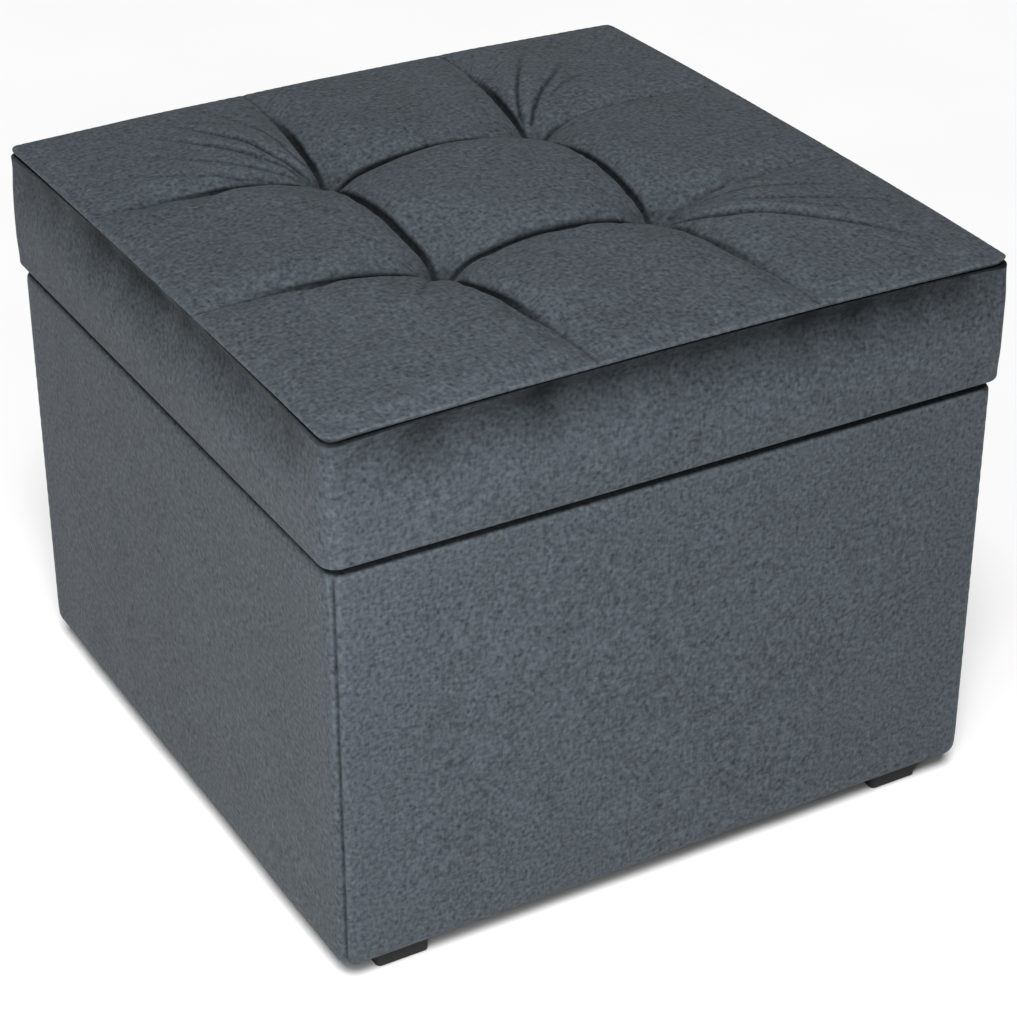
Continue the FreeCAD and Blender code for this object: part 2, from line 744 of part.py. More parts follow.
body = new_body("foot_screws")
corners = [
    ("0", "foot_screw_bottom"),
    ("foot_screw_head", "foot_screw_bottom"),
    ("foot_screw_head", "foot_seat_depth"),
    ("foot_screw_shank", "foot_seat_depth"),
    ("foot_screw_shank", "foot_screw_point"),
    ("0", "foot_screw_tip"),
]
profile = outline(body, "XZ_Plane", "foot_screw_profile", corners, ("-foot_x", "0", "foot_y"))
screw = revolve(body, profile, "foot_screw")
repeat(body, "foot_screw_set", [screw],
       [("row", "X_Axis", "2 * dimensions.foot_x", 2), ("row", "Y_Axis", "2 * dimensions.foot_y", 2)])
sub_parts.append(body)

body = new_body("rim_bumpers")
plan = circle(body, "XY_Plane", "bumper_plan", "bumper_radius",
              shift=("-bumper_x", "-bumper_y", "rim_top"))
bumper = pad(body, plan, "bumper", "dimensions.bumper_height")
repeat(body, "bumper_set", [bumper],
       [("row", "X_Axis", "2 * dimensions.bumper_x", 2), ("row", "Y_Axis", "2 * dimensions.bumper_y", 2)])
sub_parts.append(body)

# ---------------------------------------------------------------- lid

body = new_body("lid_board")
plan = outline(body, "XY_Plane", "lid_board_plan",
               rounded_square("lid_board_half", "hollow_corner_start", "lid_board_corner"),
               ("0", "0", "lid_board_bottom"))
pad(body, plan, "lid_board_sheet", "dimensions.lid_board_thickness")
plan = circle(body, "XY_Plane", "tuft_hole_plan", "tuft_hole_radius",
              shift=("tuft_offset", "-tuft_offset", "lid_board_bottom"))
hole = pocket(body, plan, "tuft_hole", "dimensions.lid_board_thickness", backwards=True)
plan = circle(body, "XY_Plane", "anchor_seat_plan", "anchor_seat_radius",
              shift=("tuft_offset", "-tuft_offset", "lid_board_bottom"))
seat = pocket(body, plan, "anchor_seat", "dimensions.anchor_thickness", backwards=True)
repeat(body, "tuft_hole_set", [hole, seat], [("turn", 4)])
sub_parts.append(body)


def tufted_block(label, layer, half, bottom, corner):
    """Pillow-topped block: flat sides, a crown both ways and four round tufts."""
    body = new_body(label)
    plan = outline(body, "XY_Plane", label + "_plan",
                   rounded_square(half, layer + "_corner_start", corner), ("0", "0", bottom))
    pad(body, plan, label + "_solid", "dimensions.%s_sky - dimensions.%s" % (layer, bottom))
    above = [
        ("-" + half, layer + "_edge"),
        (half, layer + "_edge", layer + "_arc", "right"),
        (half, layer + "_sky"),
        ("-" + half, layer + "_sky"),
    ]
    profile = outline(body, "XZ_Plane", label + "_crown_across", above, ("0", "0", half))
    pocket(body, profile, label + "_crown_cut_across", "2 * dimensions." + half)
    profile = outline(body, "YZ_Plane", label + "_crown_along", above, ("0", "0", half))
    pocket(body, profile, label + "_crown_cut_along", "2 * dimensions." + half)
    corners = [
        ("0", layer + "_tuft"),
        ("tuft_floor_radius", layer + "_tuft"),
        ("tuft_mouth_radius", layer + "_mouth", "tuft_flank_radius", "right"),
        ("tuft_mouth_radius", layer + "_sky"),
        ("0", layer + "_sky"),
    ]
    profile = outline(body, "XZ_Plane", label + "_tuft_profile", corners,
                      ("tuft_offset", "0", "tuft_offset"))
    tuft = revolve(body, profile, label + "_tuft", cut=True)
    repeat(body, label + "_tufts", [tuft], [("turn", 4)])
    return body


def hollowed(label, outer, inner):
    shell = doc.addObject("Part::Cut", label)
    shell.Label = label
    shell.Base = outer
    shell.Tool = inner
    return shell


sub_parts.append(tufted_block("lid_foam", "foam", "foam_half", "lid_board_top", "foam_corner"))
sub_parts.append(hollowed(
    "lid_wadding",
    tufted_block("wadding_outside", "wadding", "wadding_half", "wadding_bottom", "wadding_corner"),
    tufted_block("wadding_inside", "hollow", "lid_board_half", "cutter_bottom", "lid_board_corner"),
))
sub_parts.append(hollowed(
    "lid_top_panel",
    tufted_block("panel_outside", "panel", "lid_half", "lid_board_top", "panel_corner"),
    tufted_block("panel_inside", "panel_under", "lid_half", "lid_board_bottom", "panel_corner"),
))

for turn, side in enumerate(SIDES):
    # Boxing strip of one side: the band itself and its turn under the board.
    body = new_body("lid_boxing_" + side)
    plan = outline(body, "XY_Plane", side + "_band_turn_plan", turned_strip("lid", "band_turn_inner"),
                   ("0", "0", "lid_bottom"))
    pad(body, plan, side + "_band_turn", "dimensions.cover_thickness")
    plan = outline(body, "XY_Plane", side + "_band_plan", upright_sheet("lid", "lid_cover_inner"),
                   ("0", "0", "lid_board_bottom"))
    pad(body, plan, side + "_band", "dimensions.band_sheet_height")
    dress(body, "Fillet", side + "_band_round", "band_edge_radius",
          outside_at("lid_bottom", "lid_corner_outer"))
    face_side(body, turn)
    sub_parts.append(body)

body = new_body("tuft_twines")
legs = []
for number, across in enumerate(("twine_near", "twine_far"), start=1):
    plan = circle(body, "XY_Plane", "twine_plan_%d" % number, "twine_radius",
                  shift=(across, "-tuft_offset", "twine_bottom"))
    legs.append(pad(body, plan, "twine_leg_%d" % number, "dimensions.twine_top - dimensions.twine_bottom"))
plan = circle(body, "YZ_Plane", "bight_plan", "twine_radius",
              shift=("-tuft_offset", "twine_top", "twine_near"))
bight = pad(body, plan, "twine_bight", "2 * dimensions.twine_half_gap")
repeat(body, "twine_set", legs + [bight], [("turn", 4)])
sub_parts.append(body)

body = new_body("tuft_anchors")
at = ("tuft_offset", "-tuft_offset", "lid_board_bottom")
plan = circle(body, "XY_Plane", "anchor_plan", "anchor_radius", shift=at)
features = [pad(body, plan, "anchor_disc", "dimensions.anchor_thickness")]
for number, across in enumerate(("twine_near", "twine_far"), start=1):
    plan = circle(body, "XY_Plane", "anchor_hole_plan_%d" % number, "twine_hole",
                  shift=(across, "-tuft_offset", "lid_board_bottom"))
    features.append(pocket(body, plan, "anchor_hole_%d" % number,
                           "dimensions.anchor_thickness", backwards=True))
repeat(body, "anchor_set", features, [("turn", 4)])
sub_parts.append(body)

body = new_body("lid_lining")
plan = outline(body, "XY_Plane", "lid_lining_plan", rectangle("lid_lining_half", "lid_lining_half"),
               ("0", "0", "lid_lining_bottom"))
pad(body, plan, "lid_lining_sheet", "dimensions.lid_lining_thickness")
sub_parts.append(body)

sub_parts.append(staple_group("lid_staples", "lid_staple_start", "lid_staple_crown", "lid_staple_plane"))

# ---------------------------------------------------------------- hinges


def hinge_leaf(label, across, low, high, first_knuckle, span, count, seat):
    """Flat leaf beside the pin, with its own share of the knuckles and three screw seats."""
    body = new_body(label)
    corners = [
        ("-hinge_half", "-leaf_depth"),
        ("hinge_half", "-leaf_depth"),
        ("hinge_half", "-leaf_root"),
        ("-hinge_half", "-leaf_root"),
    ]
    plan = outline(body, "XY_Plane", label + "_plate_plan", corners, ("0", "0", low))
    pad(body, plan, label + "_plate", "dimensions.leaf_thickness")
    corners = [("-leaf_root", low), ("0", low), ("0", high), ("-leaf_root", high)]
    profile = outline(body, "YZ_Plane", label + "_root_profile", corners, ("0", "0", first_knuckle))
    root = pad(body, profile, label + "_root", "dimensions.knuckle_length")
    profile = circle(body, "YZ_Plane", label + "_knuckle_profile", "knuckle_radius",
                     shift=("0", "0", first_knuckle))
    knuckle = pad(body, profile, label + "_knuckle", "dimensions.knuckle_length")
    repeat(body, label + "_knuckles", [root, knuckle], [("row", "X_Axis", span, count)])
    profile = circle(body, "YZ_Plane", label + "_bore_profile", "knuckle_bore",
                     shift=("0", "0", "hinge_half"))
    pocket(body, profile, label + "_bore", "2 * dimensions.hinge_half")
    profile = outline(body, "XZ_Plane", label + "_seat_profile", seat,
                      ("-hinge_screw_pitch", "0", "hinge_screw_inset"))
    cone = revolve(body, profile, label + "_seat", cut=True)
    repeat(body, label + "_seats", [cone], [("row", "X_Axis", "2 * dimensions.hinge_screw_pitch", 3)])
    place(body, (across, "hinge_axis_y", "hinge_axis_z"))
    return body


BASE_SEAT = [
    ("0", "-leaf_to_axis"),
    ("0", "-leaf_far"),
    ("small_shank", "-leaf_far"),
    ("small_head", "-leaf_to_axis"),
]
LID_SEAT = [
    ("0", "leaf_to_axis"),
    ("small_head", "leaf_to_axis"),
    ("small_shank", "leaf_far"),
    ("0", "leaf_far"),
]
for hand, across in (("left", "-hinge_offset"), ("right", "hinge_offset")):
    sub_parts.append(hinge_leaf(
        "hinge_%s_base_leaf" % hand, across, "-leaf_far", "-leaf_to_axis",
        "-hinge_half", "4 * dimensions.knuckle_pitch", 3, BASE_SEAT,
    ))
    sub_parts.append(hinge_leaf(
        "hinge_%s_lid_leaf" % hand, across, "leaf_to_axis", "leaf_far",
        "-second_knuckle", "2 * dimensions.knuckle_pitch", 2, LID_SEAT,
    ))
    body = new_body("hinge_%s_pin" % hand)
    profile = circle(body, "YZ_Plane", hand + "_pin_profile", "pin_radius", shift=("0", "0", "-pin_half"))
    pad(body, profile, hand + "_pin", "2 * dimensions.pin_half")
    for end, start in (("near", "-pin_half"), ("far", "hinge_half")):
        profile = circle(body, "YZ_Plane", "%s_pin_%s_profile" % (hand, end), "pin_head_radius",
                         shift=("0", "0", start))
        pad(body, profile, "%s_pin_%s_head" % (hand, end), "dimensions.pin_head_length")
    place(body, (across, "hinge_axis_y", "hinge_axis_z"))
    sub_parts.append(body)


def hinge_screws(label, face, back, point, tip):
    """Three countersunk screws in each hinge, from the leaf's open face into the wood."""
    body = new_body(label)
    corners = [("0", face), ("small_head", face), ("small_shank", back), ("small_shank", point), ("0", tip)]
    profile = outline(body, "XZ_Plane", label + "_profile", corners,
                      ("-hinge_screw_start", "0", "-hinge_screw_row"))
    screw = revolve(body, profile, label + "_screw")
    repeat(body, label + "_set", [screw],
           [("row", "X_Axis", "2 * dimensions.hinge_screw_pitch", 3),
            ("row", "X_Axis", "2 * dimensions.hinge_offset", 2)])
    return body


sub_parts.append(hinge_screws("hinge_base_screws", "base_leaf_top", "rim_top",
                              "hinge_base_screw_point", "hinge_base_screw_tip"))
sub_parts.append(hinge_screws("hinge_lid_screws", "lid_leaf_bottom", "lid_bottom",
                              "hinge_lid_screw_point", "hinge_lid_screw_tip"))

# ---------------------------------------------------------------- folding lid stay

body = new_body("stay_base_bracket")
profile = outline(body, "YZ_Plane", "base_plate_profile",
                  rectangle("stay_plate_half_width", "stay_plate_half_height"))
pad(body, profile, "base_plate", "dimensions.stay_plate_thickness", backwards=True)
dress(body, "Fillet", "base_plate_corners", "arm_half_width",
      lambda box: box.XLength > 1.0 and box.YLength < 0.01 and box.ZLength < 0.01)
profile = circle(body, "YZ_Plane", "base_boss_profile", "stay_boss_radius",
                 shift=("0", "0", "-stay_plate_thickness"))
pad(body, profile, "base_boss", "dimensions.stay_boss_height", backwards=True)
profile = circle(body, "YZ_Plane", "base_bracket_hole_profile", "rivet_radius")
pocket(body, profile, "base_bracket_hole", "dimensions.boss_face")
corners = [
    ("-stay_plate_thickness", "0"),
    ("0", "0"),
    ("0", "small_shank"),
    ("-plate_cone_end", "small_shank"),
    ("-stay_plate_thickness", "small_head"),
]
profile = outline(body, "XZ_Plane", "base_plate_seat_profile", corners, ("0", "-stay_screw_offset", "0"))
seat = revolve(body, profile, "base_plate_seat", "H_Axis", cut=True)
repeat(body, "base_plate_seats", [seat], [("row", "Z_Axis", "2 * dimensions.stay_screw_offset", 2)])
place(body, ("lining_inner", "stay_base_y", "stay_base_z"))
sub_parts.append(body)

body = new_body("stay_base_screws")
corners = [
    ("-stay_plate_thickness", "0"),
    ("plate_screw_tip", "0"),
    ("plate_screw_point", "small_shank"),
    ("-plate_cone_end", "small_shank"),
    ("-stay_plate_thickness", "small_head"),
]
profile = outline(body, "XZ_Plane", "plate_screw_profile", corners, ("0", "-stay_screw_offset", "0"))
screw = revolve(body, profile, "plate_screw", "H_Axis")
repeat(body, "plate_screw_set", [screw], [("row", "Z_Axis", "2 * dimensions.stay_screw_offset", 2)])
place(body, ("lining_inner", "stay_base_y", "stay_base_z"))
sub_parts.append(body)

body = new_body("stay_base_rivet")
profile = circle(body, "YZ_Plane", "base_rivet_profile", "rivet_radius")
pad(body, profile, "base_rivet_shank", "dimensions.base_rivet_reach", backwards=True)
profile = circle(body, "YZ_Plane", "base_rivet_head_profile", "rivet_head_radius",
                 shift=("0", "0", "-base_rivet_reach"))
pad(body, profile, "base_rivet_head", "dimensions.rivet_head_height", backwards=True)
place(body, ("lining_inner", "stay_base_y", "stay_base_z"))
sub_parts.append(body)


def stay_arm(label, reach, first_hole, second, second_hole):
    """Flat bar with round ends, from a pivot at its origin along Y."""
    body = new_body(label)
    corners = [("0", "-arm_half_width"), (reach, "-arm_half_width"), (reach, "arm_half_width"),
               ("0", "arm_half_width")]
    profile = outline(body, "YZ_Plane", label + "_bar_profile", corners)
    pad(body, profile, label + "_bar", "dimensions.arm_thickness")
    for end, at in (("start", "0"), ("end", reach)):
        profile = circle(body, "YZ_Plane", "%s_%s_profile" % (label, end), "arm_half_width", (at, "0"))
        pad(body, profile, "%s_%s" % (label, end), "dimensions.arm_thickness")
    for end, at, radius in (("first", "0", first_hole), ("second", second, second_hole)):
        profile = circle(body, "YZ_Plane", "%s_%s_hole_profile" % (label, end), radius, (at, "0"),
                         ("0", "0", "arm_thickness"))
        pocket(body, profile, "%s_%s_hole" % (label, end), "dimensions.arm_thickness")
    return body


lower_arm = stay_arm("stay_lower_arm", "stop_at", "arm_hole_radius", "lower_arm_length", "rivet_radius")
profile = circle(lower_arm, "YZ_Plane", "stop_profile", "stop_radius", ("stop_at", "0"))
pad(lower_arm, profile, "stop_lug", "dimensions.stop_height", backwards=True)
place(lower_arm, ("lower_arm_inner", "stay_base_y", "stay_base_z"),
      math.degrees(math.atan2(lid_rise, -lid_run)))
sub_parts.append(lower_arm)

upper_arm = stay_arm("stay_upper_arm", "upper_arm_length", "arm_hole_radius",
                     "upper_arm_length", "arm_hole_radius")
place(upper_arm, ("upper_arm_inner", "stay_elbow_y", "stay_elbow_z"),
      math.degrees(math.atan2(-base_rise, base_run)))
sub_parts.append(upper_arm)

for label, across_y, across_z in (
    ("stay_elbow_rivet", "stay_elbow_y", "stay_elbow_z"),
    ("stay_lid_stud", "stay_lid_y", "stay_lid_z"),
):
    body = new_body(label)
    profile = circle(body, "YZ_Plane", label + "_back_profile", "rivet_back_radius")
    pad(body, profile, label + "_back", "dimensions.rivet_back_height")
    profile = circle(body, "YZ_Plane", label + "_shank_profile", "rivet_radius")
    pad(body, profile, label + "_shank", "dimensions.arm_rivet_reach", backwards=True)
    profile = circle(body, "YZ_Plane", label + "_head_profile", "rivet_head_radius",
                     shift=("0", "0", "-arm_rivet_reach"))
    pad(body, profile, label + "_head", "dimensions.rivet_head_height", backwards=True)
    place(body, ("lower_arm_outer", across_y, across_z))
    sub_parts.append(body)

body = new_body("stay_lid_bracket")
corners = [
    ("bracket_flange_inner", "bracket_flange_bottom"),
    ("lower_arm_inner", "bracket_flange_bottom"),
    ("lower_arm_inner", "bracket_tab_bottom"),
    ("lower_arm_outer", "bracket_tab_bottom"),
    ("lower_arm_outer", "lid_lining_bottom"),
    ("bracket_flange_inner", "lid_lining_bottom"),
]
profile = outline(body, "XZ_Plane", "lid_bracket_profile", corners, ("0", "0", "-bracket_back"))
pad(body, profile, "lid_bracket_angle", "2 * dimensions.bracket_half_width")
dress(body, "Fillet", "lid_bracket_corners", "bracket_tab_corner",
      lambda box: near(box.ZMax, size["bracket_tab_bottom"]) and box.YLength < 0.01)
profile = circle(body, "YZ_Plane", "lid_bracket_hole_profile", "rivet_radius",
                 ("stay_lid_y", "stay_lid_z"), ("0", "0", "lower_arm_outer"))
pocket(body, profile, "lid_bracket_hole", "dimensions.arm_thickness")
corners = [
    ("0", "bracket_flange_bottom"),
    ("small_head", "bracket_flange_bottom"),
    ("small_shank", "bracket_cone_top"),
    ("small_shank", "lid_lining_bottom"),
    ("0", "lid_lining_bottom"),
]
at = ("bracket_screw_x", "0", "-bracket_screw_y")
profile = outline(body, "XZ_Plane", "lid_bracket_seat_profile", corners, at)
seat = revolve(body, profile, "lid_bracket_seat", cut=True)
repeat(body, "lid_bracket_seats", [seat],
       [("row", "Y_Axis", "2 * dimensions.bracket_screw_offset", 2)])
sub_parts.append(body)

body = new_body("stay_lid_screws")
corners = [
    ("0", "bracket_flange_bottom"),
    ("small_head", "bracket_flange_bottom"),
    ("small_shank", "bracket_cone_top"),
    ("small_shank", "bracket_screw_point"),
    ("0", "bracket_screw_tip"),
]
profile = outline(body, "XZ_Plane", "lid_bracket_screw_profile", corners, at)
screw = revolve(body, profile, "lid_bracket_screw")
repeat(body, "lid_bracket_screw_set", [screw],
       [("row", "Y_Axis", "2 * dimensions.bracket_screw_offset", 2)])
sub_parts.append(body)

# ---------------------------------------------------------------- checks and files

doc.recompute()
for thing in doc.Objects:
    if "Invalid" in thing.State or "Error" in thing.State:
        raise RuntimeError("%s is %s" % (thing.Name, thing.State))
for part in sub_parts:
    if part.Shape.isNull() or not part.Shape.isValid() or not part.Shape.Solids:
        raise RuntimeError("no sound solid in " + part.Label)
    part.Shape.exportStep("parts/%s.step" % part.Label)
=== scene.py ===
"""Storage ottoman: its soft covers, linings, finishes, light and camera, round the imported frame."""

import math

import bpy
import numpy as np
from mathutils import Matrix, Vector


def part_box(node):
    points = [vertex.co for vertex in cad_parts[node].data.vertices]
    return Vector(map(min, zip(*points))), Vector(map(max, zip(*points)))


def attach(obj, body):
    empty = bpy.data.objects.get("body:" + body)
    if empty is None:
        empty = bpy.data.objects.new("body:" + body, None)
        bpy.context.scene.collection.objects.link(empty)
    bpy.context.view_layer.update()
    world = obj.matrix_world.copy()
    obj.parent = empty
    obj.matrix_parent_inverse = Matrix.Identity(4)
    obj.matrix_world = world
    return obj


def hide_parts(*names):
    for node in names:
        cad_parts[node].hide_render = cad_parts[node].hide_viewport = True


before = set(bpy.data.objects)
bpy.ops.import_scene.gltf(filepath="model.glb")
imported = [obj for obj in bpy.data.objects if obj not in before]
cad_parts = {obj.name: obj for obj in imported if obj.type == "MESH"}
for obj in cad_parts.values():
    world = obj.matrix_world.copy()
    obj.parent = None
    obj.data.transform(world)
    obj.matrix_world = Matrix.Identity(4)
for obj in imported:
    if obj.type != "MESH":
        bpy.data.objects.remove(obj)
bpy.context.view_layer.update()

MM = 0.001
scene = bpy.context.scene


def corner_mm(node, which):
    """A CAD node's lowest (0) or highest (1) corner, in millimetres."""
    return np.array(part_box(node)[which]) / MM


# ---------------------------------------------------------------- sizes, in millimetres
# a half is the distance from the ottoman's middle out to a face
LID_HALF = corner_mm("lid_boxing_right", 1)[0]
LID_UNDER = corner_mm("lid_boxing_right", 0)[2]
LID_INNER = corner_mm("lid_lining", 1)[0]
SEAM_Z = 406.0  # where the tufted top meets the band
TUFT = 82.0  # how far the four tufts lie from the middle, along both axes
TUFT_Z = 382.4  # the cloth's lowest point in a tuft
BASE_HALF = corner_mm("cover_right", 1)[0]
RIM_Z = corner_mm("cover_right", 1)[2]
RIM_INNER = corner_mm("cover_right", 0)[0]
FLAP_Z = corner_mm("cover_right", 0)[2]
LID_CORNER, BASE_CORNER = 13.0, 13.0  # radii of the upright corners
LINING_HALF = 227.2
LINING_TOP = corner_mm("lining_walls", 1)[2]
LINING_BOTTOM = corner_mm("lining_walls", 0)[2]
BLOCK = corner_mm("corner_block_front_right", 0)[0]  # where a corner block begins along the wall
BLOCK_LEG = 22  # how far a corner block reaches along each wall
DUST_HALF = corner_mm("dust_cover", 1)[0]
DUST_Z = corner_mm("dust_cover", 0)[2]
SIDES = ("front", "right", "back", "left")


# ---------------------------------------------------------------- shape helpers
def ease(t):
    """0 to 1 with level ends."""
    t = np.clip(t, 0, 1)
    return t * t * (3 - 2 * t)


def hump(x, centre, width):
    """1 at the centre, falling smoothly to 0 beyond the width."""
    return np.exp(-(((x - centre) / width) ** 2))


def ripple(points, size, seed):
    """Smooth noise of about -1 to 1, with features about size millimetres wide."""
    rng = np.random.default_rng(seed)
    total = np.zeros(points.shape[:-1])
    waves = 14
    for _ in range(waves):
        # a wave 1.4 to 3.4 sizes long, in any direction
        way = rng.normal(size=points.shape[-1])
        way *= 2 * math.pi / (np.linalg.norm(way) * size * rng.uniform(1.4, 3.4))
        total += np.sin(points @ way + rng.uniform(0, 2 * math.pi))
    return total / math.sqrt(waves * 1.6)


def surface(name, grid, closed=False):
    """A smooth mesh through a grid of points in millimetres.

    closed joins its last column to its first.
    """
    rows, columns = grid.shape[:2]
    index = np.arange(rows * columns).reshape(rows, columns)
    if closed:
        index = np.hstack([index, index[:, :1]])
    quads = np.stack(
        [index[:-1, :-1], index[:-1, 1:], index[1:, 1:], index[1:, :-1]], axis=-1
    ).reshape(-1, 4)
    mesh = bpy.data.meshes.new(name)
    mesh.from_pydata((grid.reshape(-1, 3) * MM).tolist(), [], quads.tolist())
    mesh.polygons.foreach_set("use_smooth", [True] * len(mesh.polygons))
    mesh.update()
    obj = bpy.data.objects.new(name, mesh)
    scene.collection.objects.link(obj)
    return obj


def vertices(obj):
    """The mesh's points, in millimetres."""
    flat = np.empty(len(obj.data.vertices) * 3)
    obj.data.vertices.foreach_get("co", flat)
    return flat.reshape(-1, 3) / MM


def move_vertices(obj, points):
    obj.data.vertices.foreach_set("co", (points * MM).ravel())
    obj.data.update()


def bake_modifiers(obj):
    """Puts what the modifiers make into the mesh."""
    seen = obj.evaluated_get(bpy.context.evaluated_depsgraph_get())
    made = bpy.data.meshes.new_from_object(seen)
    obj.modifiers.clear()
    obj.data = made


def get_shade(obj):
    """The painted shade at each point, as set_shade stored it."""
    values = np.zeros(len(obj.data.vertices))
    obj.data.attributes["shade"].data.foreach_get("value", values)
    return values


def set_shade(obj, values):
    """Stores the painted shade at each point, from 0 to 1: in folds, tucks, seams and hollows, and
    under the lid.
    """
    layer = obj.data.attributes.get("shade") or obj.data.attributes.new("shade", "FLOAT", "POINT")
    layer.data.foreach_set("value", np.clip(values, 0, 1).ravel())


def keep_sharp(obj, chosen):
    """Stops subdivision rounding the edges between chosen points."""
    ends = np.empty(len(obj.data.edges) * 2, int)
    obj.data.edges.foreach_get("vertices", ends)
    sharp = chosen[ends.reshape(-1, 2)].all(axis=1)
    crease = obj.data.attributes.new("crease_edge", "FLOAT", "EDGE")
    crease.data.foreach_set("value", sharp.astype(float))


def subdivide(obj):
    """Splits each face in four, smoothly."""
    obj.modifiers.new("finer", "SUBSURF").levels = 1
    bake_modifiers(obj)


def inflate(obj, held, give, pressure, cap, slack):
    """Swells the piece as cloth under pressure, pinned where held is true.

    Each point moves at most cap, and that movement is scaled by give, from 0 to 1.
    """
    start = vertices(obj)
    frames = 20
    group = obj.vertex_groups.new(name="held")
    group.add(np.flatnonzero(held).tolist(), 1.0, "REPLACE")
    cloth = obj.modifiers.new("cloth", "CLOTH")
    cloth.settings.quality = 5
    cloth.settings.mass = 0.3
    cloth.settings.tension_stiffness = 15
    cloth.settings.compression_stiffness = 15
    cloth.settings.shear_stiffness = 5
    cloth.settings.bending_stiffness = 0.5
    cloth.settings.vertex_group_mass = group.name
    cloth.settings.use_pressure = True
    cloth.settings.uniform_pressure_force = pressure
    cloth.settings.shrink_min = -slack
    cloth.settings.effector_weights.gravity = 0
    cloth.collision_settings.use_collision = False
    cloth.point_cache.frame_start = 1
    cloth.point_cache.frame_end = frames
    for step in range(1, frames + 1):
        scene.frame_set(step)
    bake_modifiers(obj)
    obj.vertex_groups.clear()
    scene.frame_set(1)
    moved = vertices(obj) - start
    reach = np.linalg.norm(moved, axis=1, keepdims=True)
    allowed = give[:, None] * np.minimum(1, cap / np.maximum(reach, 1e-9))
    move_vertices(obj, start + moved * allowed)


def bunched(low, high, count, pull):
    """count + 1 places from low to high, closer together at both ends by pull, from 0 to 1."""
    t = np.linspace(0, 1, count + 1)
    return low + (high - low) * (t - pull * np.sin(2 * math.pi * t) / (2 * math.pi))


def curve_through(points, rounds=4):
    """A polyline smoothed by cutting its corners, with its ends kept."""
    line = np.array(points, float)
    for _ in range(rounds):
        near, far = line[:-1], line[1:]
        cut = np.stack([near * 0.75 + far * 0.25, near * 0.25 + far * 0.75], axis=1)
        line = np.vstack([line[:1], cut.reshape(-1, line.shape[1]), line[-1:]])
    return line


def along(points, line):
    """For each point, its distance from the line and how far along it lies, from 0 to 1."""
    steps = np.linalg.norm(np.diff(line, axis=0), axis=1)
    so_far = np.concatenate([[0], np.cumsum(steps)])
    best = np.full(len(points), 1e9)
    where = np.zeros(len(points))
    for k, (p, q) in enumerate(zip(line[:-1], line[1:])):
        t = np.clip((points - p) @ (q - p) / steps[k] ** 2, 0, 1)
        away = np.linalg.norm(points - (p + t[:, None] * (q - p)), axis=1)
        nearer = away < best
        best[nearer] = away[nearer]
        where[nearer] = ((so_far[k] + t * steps[k]) / so_far[-1])[nearer]
    return best, where


# ---------------------------------------------------------------- lid: tufted top panel
CROWN = 17.0  # rise of the filling from the edge to the middle
EDGE_LIFT, EDGE_START = 4.5, 1.5  # rise just inside the seam, and of the edge over the seam
SEAM_RISE, SEAM_DRAW = 4.5, 2.0  # how far the filling lifts and draws in the seam, mid side
PUFF = 3.5  # extra rise of the middle square
BOWL, BOWL_REACH = 15.0, 80.0  # the wide dip round each tuft
PIT_FLOOR, PIT_REACH = 8.8, 9.0  # the narrow pit in its middle
PLEAT_DEPTH, BACK_PLEAT_DEPTH = 8.5, 12.0  # between the tufts
OUTER_PLEAT_DEPTH, END_PLEAT_DEPTH = 6.5, 2.0  # extra beyond the tufts, and what stays at the seam
FAINT_PLEATS = (0.35, 0.65)  # shares left of the two pleats that run right, back and front
TUFT_PLEAT_DEPTH = 7.0  # where a pleat runs into a tuft
PLEAT_REACH = 42.0  # how far from a pleat its puffs are rounded
PLEAT_SPREAD, BOW_SPREAD = 45.0, 30.0  # how far beside a pleat the cloth follows its bends
OPEN_FRONT, OPEN_RIGHT = 0.6, 0.35  # share of the painted fold shade that the open pleats from the front right tuft keep
HELD_ROUND_TUFT, HELD_AT_EDGE = 5.0, 3.2


def seam_pull(run):
    """0 at a side's ends, 1 at its middle. run is measured from the middle, in millimetres."""
    return 1 - np.clip(abs(run) / LID_HALF, 0, 1) ** 2.2


def domed(r):
    """A convex rise from 0 to 1, steep at the start, as a puff's side beside a pleat."""
    r = np.clip(r, 0, 1)
    return (2 * r - r * r) ** 0.5


def pleat_shift(t, before, after):
    """How far a pleat leaves its straight line beyond the tufts, on each side."""
    return before * ease((-t - TUFT) / 150) + after * ease((t - TUFT) / 150)


def pleat_plan(a, b):
    """Bends a square grid in plan, so that its lines through the tufts follow the pleats."""
    x = a + pleat_shift(b, 17, 14) * hump(a, -TUFT, PLEAT_SPREAD)
    x += pleat_shift(b, 16, 15) * hump(a, TUFT, PLEAT_SPREAD)
    y = b + pleat_shift(a, 14, 18) * hump(b, -TUFT, PLEAT_SPREAD)
    y += pleat_shift(a, 16, 6) * hump(b, TUFT, PLEAT_SPREAD)
    inside = (abs(b) < TUFT) * (1 - (b / TUFT) ** 2)
    x += inside * (-3.5 * hump(a, -TUFT, BOW_SPREAD) + 3.0 * hump(a, TUFT, BOW_SPREAD))
    inside = (abs(a) < TUFT) * (1 - (a / TUFT) ** 2)
    y += inside * (-3.0 * hump(b, -TUFT, BOW_SPREAD) - 5.0 * hump(b, TUFT, BOW_SPREAD))
    return x, y


